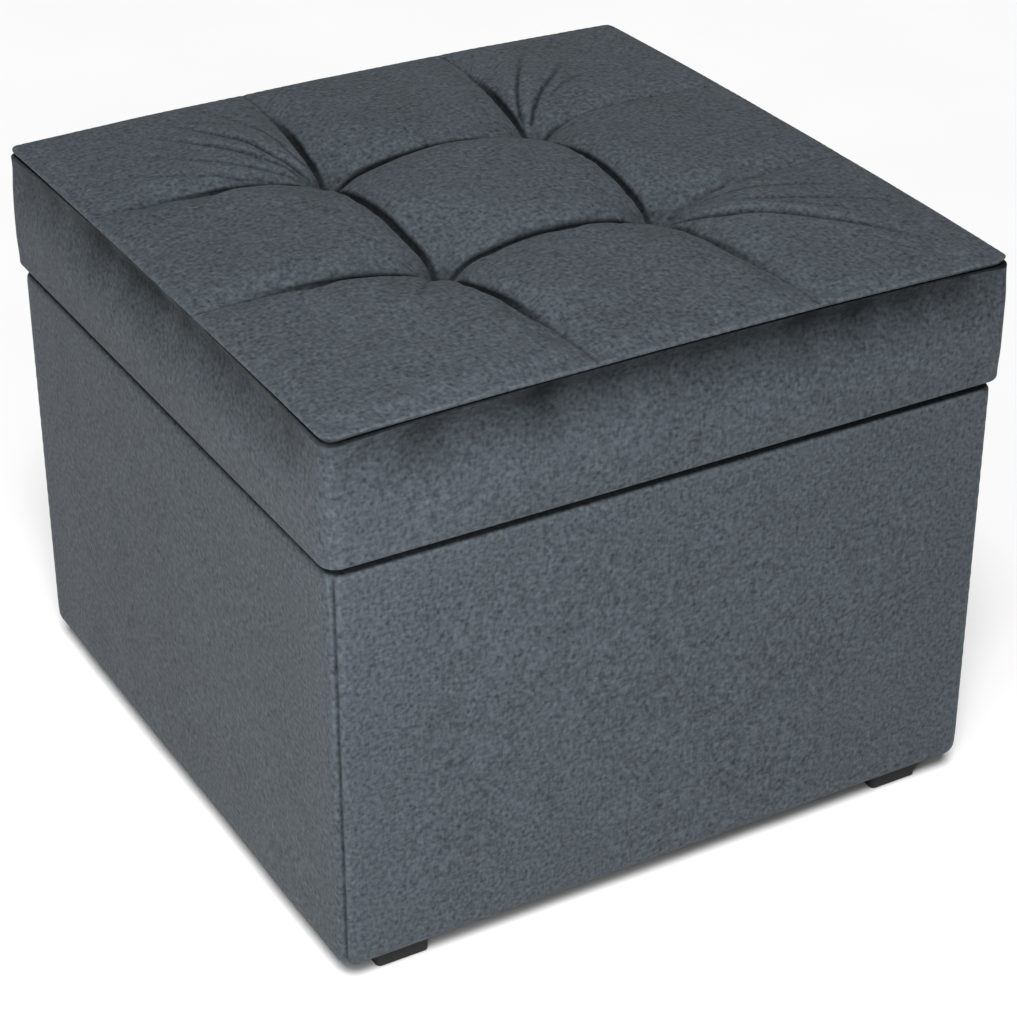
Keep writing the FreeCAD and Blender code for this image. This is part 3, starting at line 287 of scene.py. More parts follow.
def pleat_depths(a, b, beside_x, beside_y, reach):
    """Depths of the two pleats that run front to back, and of the two that run left to right."""
    outward_x = OUTER_PLEAT_DEPTH * (1 - ease((beside_y - 50) / 110)) + END_PLEAT_DEPTH
    outward_y = OUTER_PLEAT_DEPTH * (1 - ease((beside_x - 50) / 110)) + END_PLEAT_DEPTH
    on_x = np.where(abs(b) < TUFT, PLEAT_DEPTH, outward_x)
    on_y = np.where(abs(a) < TUFT, np.where(b < 0, PLEAT_DEPTH, BACK_PLEAT_DEPTH), outward_y)
    on_y = on_y * np.where(a > TUFT, np.where(b > 0, *FAINT_PLEATS), 1.0)
    near_tuft = 1 - ease((reach - 8) / 30)
    on_x = on_x * (1 - near_tuft) + TUFT_PLEAT_DEPTH * near_tuft
    on_y = on_y * (1 - near_tuft) + TUFT_PLEAT_DEPTH * near_tuft
    return on_x, on_y


def fold_shade(a, b, on_x, on_y, reach, from_edge):
    """Painted shade in the folds: darkest just behind each deepest line, and down in the tufts."""
    behind_x = np.where(a < 0, a + TUFT, a - TUFT) - 0.14 * on_x
    behind_y = np.where(b < 0, b + TUFT, b - TUFT) - 0.22 * on_y
    dark_x = np.clip(on_x / 8, 0, 1) * np.exp(-((behind_x / (0.7 + 0.13 * on_x)) ** 4))
    dark_y = np.clip(on_y / 8, 0, 1) * np.exp(-((behind_y / (0.8 + 0.16 * on_y)) ** 4))
    dark_x = dark_x * np.where((a > 0) & (b < -TUFT), OPEN_FRONT, 1.0)
    dark_y = dark_y * np.where((a > TUFT) & (b < 0), OPEN_RIGHT, 1.0)
    shade = 0.95 * np.maximum(dark_x, dark_y) * ease(from_edge / 6)
    return np.maximum(shade, 0.95 * np.exp(-reach / 7))


def rolled_edge(x, y):
    """Rounds the corners and rolls the edge over; also how far inside the outline each point is."""
    flat = LID_HALF - LID_CORNER
    out_x, out_y = np.clip(abs(x) - flat, 0, None), np.clip(abs(y) - flat, 0, None)
    wide_x = out_x * np.sqrt(1 - 0.5 * (out_y / LID_CORNER) ** 2)
    wide_y = out_y * np.sqrt(1 - 0.5 * (out_x / LID_CORNER) ** 2)
    reach_out = np.hypot(wide_x, wide_y)
    inset = np.where(reach_out > 0, LID_CORNER - reach_out, LID_CORNER)
    roll = 1.6 * hump(inset, 4.0, 3.0) - 8.0 * np.clip(1 - inset / 4, 0, 1) ** 2
    roll = roll / np.maximum(reach_out, 1e-6)
    x = np.sign(x) * (np.minimum(abs(x), flat) + wide_x * (1 + roll))
    y = np.sign(y) * (np.minimum(abs(y), flat) + wide_y * (1 + roll))
    return x, y, inset


def top_grid():
    """The top panel's start shape, with what the simulation and the painted shade need at each point.
    """
    ends = bunched(-LID_HALF, -TUFT, 46, 0.45)
    middle = bunched(-TUFT, TUFT, 44, 0.45)
    line = np.concatenate([ends, middle[1:], -ends[::-1][1:]])
    a, b = np.meshgrid(line, line)
    x, y = pleat_plan(a, b)

    from_x, from_y = LID_HALF - abs(a), LID_HALF - abs(b)
    from_edge = np.minimum(from_x, from_y)
    fullness = (1 - (1 - from_x / LID_HALF) ** 2.6) * (1 - (1 - from_y / LID_HALF) ** 2.6)
    z = SEAM_Z + EDGE_START + EDGE_LIFT * (1 - np.exp(-from_edge / 4)) + CROWN * fullness

    beside_x, beside_y = abs(abs(a) - TUFT), abs(abs(b) - TUFT)
    reach = np.hypot(beside_x, beside_y)
    bowl = BOWL * (1 - np.sin(np.clip(reach / BOWL_REACH, 0, 1) * math.pi / 2))
    pit = (z - TUFT_Z - BOWL - PIT_FLOOR) * np.exp(-((reach / PIT_REACH) ** 1.3))
    on_x, on_y = pleat_depths(a, b, beside_x, beside_y, reach)
    deep_x = on_x * (1 - domed(beside_x / PLEAT_REACH))
    deep_y = on_y * (1 - domed(beside_y / PLEAT_REACH))
    z -= ((deep_x**3 + deep_y**3) ** (1 / 3) + bowl + pit) * ease(from_edge / 14)
    tight_x, tight_y = 0.3 * on_x * np.exp(-beside_x / 2.0), 0.3 * on_y * np.exp(-beside_y / 2.0)
    z -= np.maximum(tight_x, tight_y) * ease(from_edge / 8) * ease(reach / 12)
    in_middle = (abs(a) < TUFT) * (abs(b) < TUFT)
    rise = np.sin((a / TUFT + 1) * math.pi / 2) * np.sin((b / TUFT + 1) * math.pi / 2)
    z += PUFF * in_middle * rise
    shade = fold_shade(a, b, on_x, on_y, reach, from_edge)
    pleat = (beside_x < 0.01) & (deep_x > 1.7) | (beside_y < 0.01) & (deep_y > 1.7)
    held = (reach < HELD_ROUND_TUFT) | (from_edge < HELD_AT_EDGE) | pleat
    give = ease((from_edge - 3) / 15)

    pull_x, pull_y = seam_pull(b) * np.exp(-from_x / 20), seam_pull(a) * np.exp(-from_y / 20)
    x -= np.sign(x) * SEAM_DRAW * pull_x
    y -= np.sign(y) * SEAM_DRAW * pull_y
    x, y, inset = rolled_edge(x, y)
    z += SEAM_RISE * (pull_x + pull_y) - 2.6 * np.clip(1 - inset / 3.0, 0, 1) ** 2
    return np.stack([x, y, z], axis=-1), held.ravel(), give.ravel(), pleat.ravel(), shade.ravel()


# creases that the square pleats leave out: plan points, depth and width
CREASES = [
    ([(86, -86), (100, -112), (128, -128), (171, -158), (200, -188), (222, -228)], 5.2, 5.0),
    ([(98, -88), (142, -96), (190, -106), (246, -128)], 0.8, 4.0),
    ([(124, -108), (165, -124), (214, -136), (240, -168)], 1.4, 3.6),
    ([(150, -128), (178, -140), (205, -158)], 0.9, 3.0),
    ([(88, -76), (112, -86), (139, -75), (177, -59)], 1.9, 4.0),
    ([(86, 92), (104, 116), (136, 146), (169, 182)], 2.6, 4.6),
    ([(84, 94), (94, 126), (124, 174), (158, 224)], 2.3, 4.0),
    ([(112, 112), (140, 132), (176, 150)], 0.8, 4.0),
    ([(-86, 88), (-102, 112), (-120, 165), (-153, 226)], 3.6, 4.2),
    ([(-82, 92), (-90, 128), (-98, 186), (-119, 246)], 1.5, 3.4),
    ([(-90, 88), (-116, 116), (-140, 158), (-182, 216)], 2.4, 3.4),
    ([(-94, 86), (-134, 108), (-168, 146), (-214, 196)], 1.3, 3.2),
    ([(-112, 104), (-132, 138), (-150, 176), (-170, 204)], 0.9, 2.8),
    ([(-102, 82), (-146, 98), (-190, 126), (-232, 150)], 0.9, 3.4),
    ([(-88, -88), (-102, -106), (-120, -126), (-136, -144)], 1.0, 5.0),
]


def carve(points, shade, line, depth, width):
    """Lowers the points in a crease along the line and paints shade into it, fading to both ends."""
    away, where = along(points[:, :2], curve_through(line))
    fade = ease(where / 0.12) * (1 - ease((where - 0.45) / 0.55))
    groove = np.exp(-away / (0.5 * width)) - 0.22 * hump(away, 1.9 * width, 1.2 * width)
    points[:, 2] -= depth * fade * groove
    strength = min(0.85, 0.3 + 0.14 * depth)
    spread = (0.28 + 0.035 * depth) * width
    np.maximum(shade, strength * fade * np.exp(-((away / spread) ** 2)), out=shade)


def make_lid_top():
    """The tufted top: its start shape swollen as cloth, then creased, rippled and puckered."""
    grid, held, give, pleat, shade = top_grid()
    piece = surface("lid_top_cover", grid)
    set_shade(piece, shade)
    inflate(piece, held, give, pressure=2, cap=2.5, slack=0.01)
    keep_sharp(piece, pleat)
    subdivide(piece)
    points, shade = vertices(piece), get_shade(piece)
    for line, depth, width in CREASES:
        carve(points, shade, line, depth, width)
    set_shade(piece, shade)
    edge = LID_HALF - np.abs(points[:, :2]).max(axis=1)
    inner = ease(edge / 12)
    points[:, 2] += inner * (0.4 * ripple(points[:, :2], 42, 3) + 0.18 * ripple(points[:, :2], 17, 5))
    # puckers where the thread gathers the panel's edge
    run = np.where(abs(points[:, 0]) > abs(points[:, 1]), points[:, 1], points[:, 0])
    pucker = np.sin(2 * math.pi * run / 7.3 + 2.0 * ripple(points[:, :2], 40, 9))
    gather = hump(edge, 4.0, 3.0) * (0.07 + 0.05 * ripple(points[:, :2], 30, 11))
    points[:, 2] += pucker * gather
    move_vertices(piece, points)
    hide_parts("lid_top_panel", "lid_wadding", "lid_foam")
    finish_piece(piece, "lid", "grey_cloth")


# ---------------------------------------------------------------- rings of soft panels
PER_SIDE, PER_CORNER = 92, 20  # a ring's steps along one side and round one corner
HOLLOW_Z, HOLLOW = 393, 7.6  # height where the lid's band is most drawn in, and how far
FULL_Z, FULLNESS = 347, 1.5  # height where it is fullest, and how much
SHADE_DROP = 54  # how far below the seam the band's painted shade reaches
BAND_FOLDS = ((-66, 1.0), (-58, -0.5), (99, 0.9), (108, -0.45), (-75, 0.5))  # place and depth


def ring(half, radius):
    """Points and outward directions round a rounded square.

    They run counter-clockwise, from its front left corner.
    """
    t = bunched(-1, 1, PER_SIDE, 0.6)
    bend = np.linspace(-1, 1, PER_CORNER + 1)[1:-1]
    angle = math.pi / 4 * (1 + np.sign(bend) * abs(bend) ** 1.5)
    flat = half - radius
    spots = np.stack([t * flat, np.full_like(t, -half)], axis=-1)
    ways = np.stack([np.zeros_like(t), -np.ones_like(t)], axis=-1)
    turn = np.stack([np.sin(angle), -np.cos(angle)], axis=-1)
    spots = np.vstack([spots, turn * radius + [flat, -flat]])
    ways = np.vstack([ways, turn])
    all_spots, all_ways = [], []
    for c, s in ((1, 0), (0, 1), (-1, 0), (0, -1)):
        spin = np.array([[c, s], [-s, c]])
        all_spots.append(spots @ spin)
        all_ways.append(ways @ spin)
    return np.vstack(all_spots), np.vstack(all_ways)


def round_the_ring(half, radius):
    """How near each point of a ring is to its side's middle, and how far from the nearest corner."""
    spots, _ = ring(half, radius)
    steps = np.linalg.norm(np.diff(np.vstack([spots, spots[:1]]), axis=0), axis=1)
    run = np.concatenate([[0], np.cumsum(steps)[:-1]])
    arc = radius * math.pi / 2
    lap = 2 * (half - radius) + arc
    phase = (run + arc / 2) % lap
    to_corner = np.minimum(phase, lap - phase)
    middle = 1 - (1 - np.clip(2 * to_corner / lap, 0, 1)) ** 2
    return middle, to_corner


def ring_grid(profile, radius, half):
    """Stacks rings through profile's (half width, height) pairs, from the inside bottom upwards."""
    rows, ways = [], []
    for reach, z in profile:
        spots, way = ring(reach, max(radius - (half - reach), 1.2))
        rows.append(np.column_stack([spots, np.full(len(spots), z)]))
        ways.append(np.column_stack([way, np.zeros(len(way))]))
    return np.array(rows), np.array(ways)


def arc_profile(centre, radius, start, stop, count):
    """Profile points round an arc, in degrees from straight out."""
    angles = np.radians(np.linspace(start, stop, count))
    return [(centre[0] + radius * math.cos(a), centre[1] + radius * math.sin(a)) for a in angles]


def band_profile():
    """The band's section: its turned-in foot, its face, and its edge in the seam."""
    foot, foot_rise, foot_in = 2.6, 0.6, 0.8
    low = LID_UNDER + foot_rise
    profile = [(LID_INNER, LID_UNDER + 0.15), (236, LID_UNDER), (244, LID_UNDER + 0.2)]
    profile += arc_profile((LID_HALF - foot_in - foot, low + foot), foot, -90, 0, 7)
    upright = np.linspace(328, 400, 26)
    profile += [(LID_HALF - foot_in * (1 - ease((z - 326) / 20)), z) for z in upright]
    profile += [(LID_HALF, z) for z in (402, 403.4, 404.4, 405.2)]
    return profile + [(LID_HALF - 1.4, 405.6), (LID_HALF - 3.2, 405.0), (LID_HALF - 8, 403.6)]


def band_relief(grid, across, middle, to_corner):
    """How far the band stands out: drawn in under the seam, fuller below, waved and folded."""
    z = grid[:, :, 2]
    on_face = ease((z - 323) / 6) * (np.abs(grid[:, :, :2]).max(axis=2) > LID_HALF - 9)
    under_seam = hump(z, HOLLOW_Z, np.where(z < HOLLOW_Z, 19, 9.5))
    drawn = middle**0.7 * under_seam * (HOLLOW + 1.2 * ripple(grid * [1, 1, 0.3], 60, 21))
    drawn = drawn + 1.2 * ease((z - 380) / 24) + SEAM_DRAW * seam_pull(across) * ease((z - 360) / 45)
    full = FULLNESS * middle * hump(z, FULL_Z, 20)
    waves = 0.4 * ripple(grid * [1, 1, 0.35], 34, 23) + 0.25 * ripple(grid, 14, 24)
    creased = 0.9 * ripple(grid * [1, 1, 0.22], 13, 25) * under_seam * ease(to_corner / 60)
    # soft upright folds below the places where the pleats reach the seam
    fold = sum(tall * hump(across, spot, 5.5) * ease((z - 350) / 45) for spot, tall in BAND_FOLDS)
    return (full - drawn + (waves + creased) * ease(to_corner / 30) - 0.8 * fold) * on_face


def band_shade(grid, z, ways, to_corner):
    """Painted shade in the hollow under the seam, and in the seam itself."""
    leftward = np.clip(-ways[:, :, 0], 0, 1)
    hollow = (0.68 - 0.2 * leftward) * (1 - ease((SEAM_Z - z) / SHADE_DROP))
    hollow = hollow * (0.35 + 0.65 * ease(to_corner / 70))
    streaks = (0.22 + 0.2 * leftward) * ripple(grid * [1, 1, 0.2], 15, 26)
    hollow = hollow * (1 + streaks * ease(to_corner / 50))
    seam = (0.85 - 0.3 * leftward) * ease((z - 403.9) / 1.0)
    return np.maximum(hollow, seam) * (z > 330)


def make_lid_band():
    """The boxing strip round the lid, lifted at mid side by the top that is sewn to it."""
    grid, ways = ring_grid(band_profile(), LID_CORNER, LID_HALF)
    middle, to_corner = round_the_ring(LID_HALF, LID_CORNER)
    z = grid[:, :, 2]
    across = np.where(abs(ways[:, :, 0]) > 0.5, grid[:, :, 1], grid[:, :, 0])
    grid = grid + ways * band_relief(grid, across, middle, to_corner)[..., None]
    grid[:, :, 2] += SEAM_RISE * seam_pull(across) * ease((z - 355) / 48)
    piece = surface("lid_band", grid, closed=True)
    set_shade(piece, band_shade(grid, z, ways, to_corner))
    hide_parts("lid_boxing_front", "lid_boxing_right", "lid_boxing_back", "lid_boxing_left")
    finish_piece(piece, "lid", "grey_cloth")


TOE, LIP, LIP_DROP = 9.0, 3.5, 2.4  # roundings by the floor and the rim; how low the rim's one ends


def cover_profile():
    """The box cover's section: turned in under the floor, up the face, over the rim."""
    profile = [(228, FLAP_Z + 0.3), (233, FLAP_Z + 0.05), (238, FLAP_Z)]
    profile += arc_profile((BASE_HALF - TOE, FLAP_Z + TOE), TOE, -90, 0, 9)
    profile += [(BASE_HALF, z) for z in np.linspace(30, 308, 52)]
    profile += arc_profile((BASE_HALF - LIP, RIM_Z - LIP_DROP - LIP), LIP, 0, 90, 7)
    profile += [(245, RIM_Z - 0.8), (242, RIM_Z - 0.2), (236, RIM_Z), (231, RIM_Z)]
    profile += arc_profile((RIM_INNER + 1.2, RIM_Z - 1.2), 1.2, 90, 180, 4)
    return profile + [(RIM_INNER, z) for z in (314, 309, 304, 298, LINING_TOP - 1)]


def make_base_cover():
    """The box's cover: four softly filled faces with a plain seam up each corner."""
    grid, ways = ring_grid(cover_profile(), BASE_CORNER, BASE_HALF)
    middle, to_corner = round_the_ring(BASE_HALF, BASE_CORNER)
    z = grid[:, :, 2]
    on_face = (np.abs(grid[:, :, :2]).max(axis=2) > BASE_HALF - 10) * ease((z - FLAP_Z) / 10)
    on_face = on_face * ease((RIM_Z - LIP_DROP - z) / 7)
    upright = on_face * ease((z - 20) / 10)
    soft = 1.3 * middle * np.sin(np.clip((z - 16) / 302, 0, 1) * math.pi) ** 0.6
    waves = 0.55 * ripple(grid * [1, 1, 0.6], 75, 31) + 0.25 * ripple(grid, 26, 32)
    seam = -1.9 * hump(to_corner, 0, 1.1) + 0.7 * hump(to_corner, 3.6, 2.4)
    tug = 0.14 * np.sin(2 * math.pi * z / 11 + 2 * ripple(grid, 50, 33)) * hump(to_corner, 3.0, 3.0)
    out = soft + waves * ease(to_corner / 26)
    grid = grid + ways * (on_face * out + upright * (seam + tug))[..., None]
    piece = surface("base_cover", grid, closed=True)
    # painted shade in the seam's furrow, and on the rim under the lid, where no light falls
    furrow_shade = 0.4 * upright * hump(to_corner, 0, 1.1)
    out_of_light = ease((z - 314.5) / 1.5) * ease((np.abs(grid[:, :, :2]).max(axis=2) - 237) / 3)
    set_shade(piece, np.maximum(furrow_shade, 0.85 * out_of_light))
    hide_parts(*[f"{kind}_{side}" for kind in ("cover", "padding") for side in SIDES])
    finish_piece(piece, "base", "grey_cloth")


# ---------------------------------------------------------------- linings, each one sheet
def make_lining_walls():
    """The lining round the inside of the box, with a turned hem along its top."""
    cut, half = BLOCK - 0.25, LINING_HALF
    corners = [(-cut, -half), (cut, -half), (half, -cut), (half, cut)]
    corners += [(cut, half), (-cut, half), (-half, cut), (-half, -cut)]
    spots, ways = [], []
    for k, start in enumerate(corners):
        stop = corners[(k + 1) % 8]
        step = np.subtract(stop, start)
        length = np.linalg.norm(step)
        count = 60 if k % 2 == 0 else 6
        for t in np.arange(count) / count:
            spots.append(np.add(start, step * t))
            ways.append([-step[1] / length, step[0] / length])
    spots, ways = np.array(spots), np.array(ways)
    heights = [*np.linspace(LINING_BOTTOM, LINING_TOP - 10, 42), 284, 286, 288, 290, LINING_TOP]
    rows = []
    for z in heights:
        row = np.column_stack([spots, np.full(len(spots), z)])
        calm = ease((z - LINING_BOTTOM) / 30) * ease((LINING_TOP - z) / 14)
        slack = (0.55 * ripple(row * [1, 1, 0.5], 48, 41) + 0.3 * ripple(row, 18, 42)) * calm
        hem = 0.35 * hump(z, 283, 1.6) - 0.2
        row[:, :2] += ways * np.clip(slack + hem, -0.15, 0.6)[:, None]
        rows.append(row)
    # the top hem folds outwards over the corner blocks' ends
    row = rows[-1].copy()
    spread = half + 0.4 - np.abs(row[:, :2]).max(axis=1, keepdims=True)
    row[:, :2] += np.sign(row[:, :2]) * np.clip(spread, 0, None) * (spread > 1)
    rows.append(row)
    piece = surface("lining_walls_cloth", np.array(rows)[::-1], closed=True)
    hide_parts("lining_walls")
    finish_piece(piece, "base", "black_lining")


def flat_sheet(name, half, z, amount, seed, clip, blunt=0.0, up=1):
    """A square sheet with slight slack and a hem line near its edge. blunt takes its corners off."""
    line = np.concatenate([[-half], bunched(-half + 3, half - 3, 84, 0.2), [half]])
    a, b = np.meshgrid(line, line)
    over = np.clip(abs(a) + abs(b) - (2 * half - blunt), 0, None) / 2
    x, y = a - np.sign(a) * over, b - np.sign(b) * over
    flat = np.stack([x, y], axis=-1)
    inset = half - np.maximum(abs(a), abs(b))
    calm = ease(inset / 40)
    slack = amount * (ripple(flat, 70, seed) + 0.5 * ripple(flat, 24, seed + 1)) * calm
    hem = 0.25 * hump(inset, 9, 1.8)
    grid = np.stack([x, y, z + np.clip(slack + hem, *clip)], axis=-1)
    return surface(name, grid if up > 0 else grid[:, ::-1])


def make_sheets():
    """The four linings, each hung or laid on the board that carries it."""
    make_lining_walls()
    wide = LINING_HALF + 0.5
    floor = flat_sheet(
        "lining_floor_cloth", wide, LINING_BOTTOM - 0.25, 0.5, 51, (-0.3, 0.5), BLOCK_LEG
    )
    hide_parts("lining_floor")
    finish_piece(floor, "base", "black_lining")
    under = flat_sheet("lid_lining_cloth", LID_INNER, 321.75, 0.3, 61, (-0.2, 0.35), up=-1)
    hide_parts("lid_lining")
    finish_piece(under, "lid", "black_lining")
    dust = flat_sheet("dust_cover_cloth", DUST_HALF, DUST_Z + 0.3, 0.3, 71, (-0.25, 0.3), up=-1)
    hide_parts("dust_cover")
    finish_piece(dust, "base", "black_lining")


# ---------------------------------------------------------------- material helpers
def new_tree(name):
    material = bpy.data.materials.new(name)
    material.use_nodes = True
    material.node_tree.nodes.clear()
    return material, material.node_tree


def put(tree, kind, settings=(), **inputs):
    """Adds a shader node. Inputs are named with _ for a space, and are numbers, colours or sockets."""
    made = tree.nodes.new("ShaderNode" + kind)
    for key, value in dict(settings).items():
        setattr(made, key, value)
    for key, value in inputs.items():
        join(tree, value, made.inputs[key.replace("_", " ")])
    return made


def join(tree, value, socket):
    """Links an output to the socket, or sets the socket to a constant."""
    if isinstance(value, bpy.types.NodeSocket):
        tree.links.new(value, socket)
    else:
        socket.default_value = value


def calc(tree, operation, *values):
    made = tree.nodes.new("ShaderNodeMath")
    made.operation = operation
    for value, socket in zip(values, made.inputs):
        join(tree, value, socket)
    return made.outputs[0]


def vector_calc(tree, operation, *values):
    made = tree.nodes.new("ShaderNodeVectorMath")
    made.operation = operation
    for value, socket in zip(values, made.inputs):
        join(tree, value, socket)
    return made.outputs[0]


def grain(tree, place, stretch, scale, detail=2.0, rough=0.5):
    """Noise of 0 to 1 over place, which is squeezed by stretch along each axis."""
    spread = vector_calc(tree, "MULTIPLY", place, stretch)
    made = put(tree, "TexNoise", Vector=spread, Scale=scale, Detail=detail, Roughness=rough)
    return made.outputs["Fac"]


def blend_colour(tree, factor, low, high):
    made = tree.nodes.new("ShaderNodeMix")
    made.data_type = "RGBA"
    for value, socket in ((factor, 0), (low, 6), (high, 7)):
        join(tree, value, made.inputs[socket])
    return made.outputs[2]


def clamped(tree, value):
    return put(tree, "Clamp", Value=value).outputs[0]


def edge_wear_hollow_shade(tree, flat, sharp, **span):
    """Rises across span between two values of pointiness: least in hollows, most on worn edges. A span
    that starts below 0 paints shade into the hollows.
    """
    pointed = put(tree, "NewGeometry").outputs["Pointiness"]
    return put(tree, "MapRange", Value=pointed, From_Min=flat, From_Max=sharp, **span).outputs[0]


def millimetres(tree):
    """The surface point on its own object, in millimetres, and the object's own normal there."""
    coordinates = put(tree, "TexCoord")
    place = vector_calc(tree, "MULTIPLY", coordinates.outputs["Object"], (1000, 1000, 1000))
    return place, coordinates.outputs["Normal"]


def srgb(*values):
    """Linear colour from 0 to 255 display values."""
    linear = [v / 255 / 12.92 if v < 10.3 else ((v / 255 + 0.055) / 1.055) ** 2.4 for v in values]
    return (*linear, 1)


def surface_shader(tree, colour, roughness, height, depth, strength=1.0, **extras):
    """Principled shader with a bump of that depth in millimetres."""
    bump = put(tree, "Bump", Height=height, Strength=strength, Distance=depth * MM)
    shader = put(tree, "BsdfPrincipled", Base_Color=colour, Roughness=roughness, Normal=bump.outputs[0])
    for key, value in extras.items():
        join(tree, value, shader.inputs[key.replace("_", " ")])
    out = put(tree, "OutputMaterial")
    tree.links.new(shader.outputs[0], out.inputs[0])


def threads(tree, place, normal, thread, slub):
    """Uneven yarns, and a weave of crossing threads, along the axes that lie in the surface."""
    wander = put(tree, "TexNoise", Vector=place, Scale=0.11, Detail=1.0)
    drift = vector_calc(tree, "MULTIPLY", wander.outputs["Color"], (2.5, 2.5, 2.5))
    loose = vector_calc(tree, "ADD", place, drift)
    facing = put(tree, "SeparateXYZ", Vector=vector_calc(tree, "ABSOLUTE", normal))
    parts = put(tree, "SeparateXYZ", Vector=loose)
    total, share, waves = 0.0, 0.0, []
    for axis in range(3):
        squeeze = [1.0, 1.0, 1.0]
        squeeze[axis] = 0.55
        lies = calc(tree, "SUBTRACT", 1.05, calc(tree, "POWER", facing.outputs[axis], 1.4))
        yarn = grain(tree, place, squeeze, 1 / slub, 1.0, 0.4)
        total = calc(tree, "ADD", total, calc(tree, "MULTIPLY", yarn, lies))
        share = calc(tree, "ADD", share, lies)
        turns = calc(tree, "MULTIPLY", parts.outputs[axis], 2 * math.pi / thread)
        waves.append(calc(tree, "SINE", turns))
    yarns = calc(tree, "DIVIDE", total, share)
    weave = 0.0
    for axis in range(3):
        crossing = calc(tree, "MULTIPLY", waves[(axis + 1) % 3], waves[(axis + 2) % 3])
        squarely = calc(tree, "POWER", facing.outputs[axis], 3.0)
        weave = calc(tree, "ADD", weave, calc(tree, "MULTIPLY", crossing, squarely))
    return yarns, weave


def woven(name, dark, light, thread, slub, depth, sheen, tint, roughness):
    """Woven cloth: threads, slubs, mottling, edge wear with painted shade in the hollows, and a soft
    sheen; painted shade from the shade attribute darkens it and dims its sheen and gloss.
    """
    material, tree = new_tree(name)
    place, normal = millimetres(tree)
    yarns, weave = threads(tree, place, normal, thread, slub)
    mottle = grain(tree, place, (1, 1, 1), 0.3, 1.5, 0.45)
    cloud = grain(tree, place, (1, 1, 1), 0.018, 2.0, 0.5)
    tone = 0.5
    for part, amount in ((yarns, 1.5), (mottle, 1.0), (cloud, 0.2)):
        tone = calc(tree, "MULTIPLY_ADD", calc(tree, "SUBTRACT", part, 0.5), amount, tone)
    tone = calc(tree, "MULTIPLY_ADD", weave, 0.09, tone)
    # lighter worn edges, and painted shade in the hollows where the span goes below 0
    edge_tone = edge_wear_hollow_shade(tree, 0.47, 0.56, To_Min=-0.12, To_Max=0.14)
    tone = clamped(tree, calc(tree, "ADD", tone, edge_tone))
    # painted shade: the shade attribute blends the cloth towards a near-black shadow colour
    shade = put(tree, "Attribute", {"attribute_name": "shade"}).outputs["Fac"]
    shadow = tuple(0.12 * value for value in dark[:3]) + (1,)
    colour = blend_colour(tree, shade, blend_colour(tree, tone, dark, light), shadow)
    height = calc(tree, "MULTIPLY_ADD", weave, 0.16, calc(tree, "MULTIPLY", yarns, 1.5))
    height = calc(tree, "MULTIPLY_ADD", mottle, 0.6, height)
    rough = put(tree, "MapRange", Value=yarns, From_Min=0.3, From_Max=0.7,
                To_Min=roughness + 0.08, To_Max=roughness - 0.06)
    # sheen and gloss fade where shade is painted
    lit = calc(tree, "SUBTRACT", 1.0, shade)
    surface_shader(
        tree, colour, rough.outputs[0], height, depth, 0.8,
        Sheen_Weight=calc(tree, "MULTIPLY", lit, sheen), Sheen_Roughness=0.45, Sheen_Tint=tint,
        Specular_IOR_Level=calc(tree, "MULTIPLY", lit, 0.22),
    )
    return material


def wood(name, dark, light, rings):
    """Sawn softwood: growth rings stretched along the length, fine pores and saw marks."""
    material, tree = new_tree(name)
    place, _ = millimetres(tree)
    bands = put(tree, "TexWave", {"wave_type": "RINGS", "rings_direction": "Z"},
                Vector=vector_calc(tree, "MULTIPLY", place, (1, 1, 0.06)), Scale=rings,
                Distortion=6.0, Detail=2.0, Detail_Scale=0.03)
    pores = grain(tree, place, (1, 1, 0.05), 1.4, 3.0, 0.6)
    saw = grain(tree, place, (0.05, 0.05, 1), 0.8, 1.0, 0.4)
    tone = calc(tree, "MULTIPLY_ADD", pores, 0.45, calc(tree, "MULTIPLY", bands.outputs["Fac"], 0.6))
    colour = blend_colour(tree, clamped(tree, tone), light, dark)
    height = calc(tree, "MULTIPLY_ADD", saw, 0.5, pores)
    surface_shader(tree, colour, calc(tree, "MULTIPLY_ADD", pores, 0.2, 0.6), height, 0.12)
    return material


def fibreboard(name, dark, light):
    """Pressed board: flat fibres in every direction, darker flecks, matt."""
    material, tree = new_tree(name)
    place, _ = millimetres(tree)
    fibres = grain(tree, place, (1, 0.35, 1), 0.9, 4.0, 0.65)
    flecks = grain(tree, place, (0.4, 1, 1), 1.7, 3.0, 0.7)
    cloud = grain(tree, place, (1, 1, 1), 0.02, 2.0)
    tone = calc(tree, "MULTIPLY_ADD", cloud, 0.3, calc(tree, "MULTIPLY", fibres, 0.4))
    tone = calc(tree, "MULTIPLY_ADD", flecks, 0.6, tone)
    colour = blend_colour(tree, calc(tree, "SUBTRACT", tone, 0.1), dark, light)
    surface_shader(tree, colour, calc(tree, "MULTIPLY_ADD", fibres, 0.15, 0.72), fibres, 0.08)
    return material


def metal(name, colour, worn, roughness, brushed):
    """Plated or pressed steel: fine drawing lines, faint stains, brighter worn edges."""
    material, tree = new_tree(name)
    place, _ = millimetres(tree)
    lines = grain(tree, place, (3.0, 0.12, 3.0), brushed, 2.0, 0.6)
    stains = grain(tree, place, (1, 1, 1), 0.12, 3.0, 0.6)
    edge_tone = edge_wear_hollow_shade(tree, 0.5, 0.62)
    tone = calc(tree, "MULTIPLY_ADD", lines, 0.35, calc(tree, "MULTIPLY", edge_tone, 0.4))
    tone = calc(tree, "MULTIPLY_ADD", stains, 0.55, tone)
    mixed = blend_colour(tree, clamped(tree, tone), colour, worn)
    rough = calc(tree, "MULTIPLY_ADD", stains, 0.22, calc(tree, "MULTIPLY_ADD", lines, 0.14, roughness))
    surface_shader(tree, mixed, rough, lines, 0.02, 0.6, Metallic=1.0)
    return material


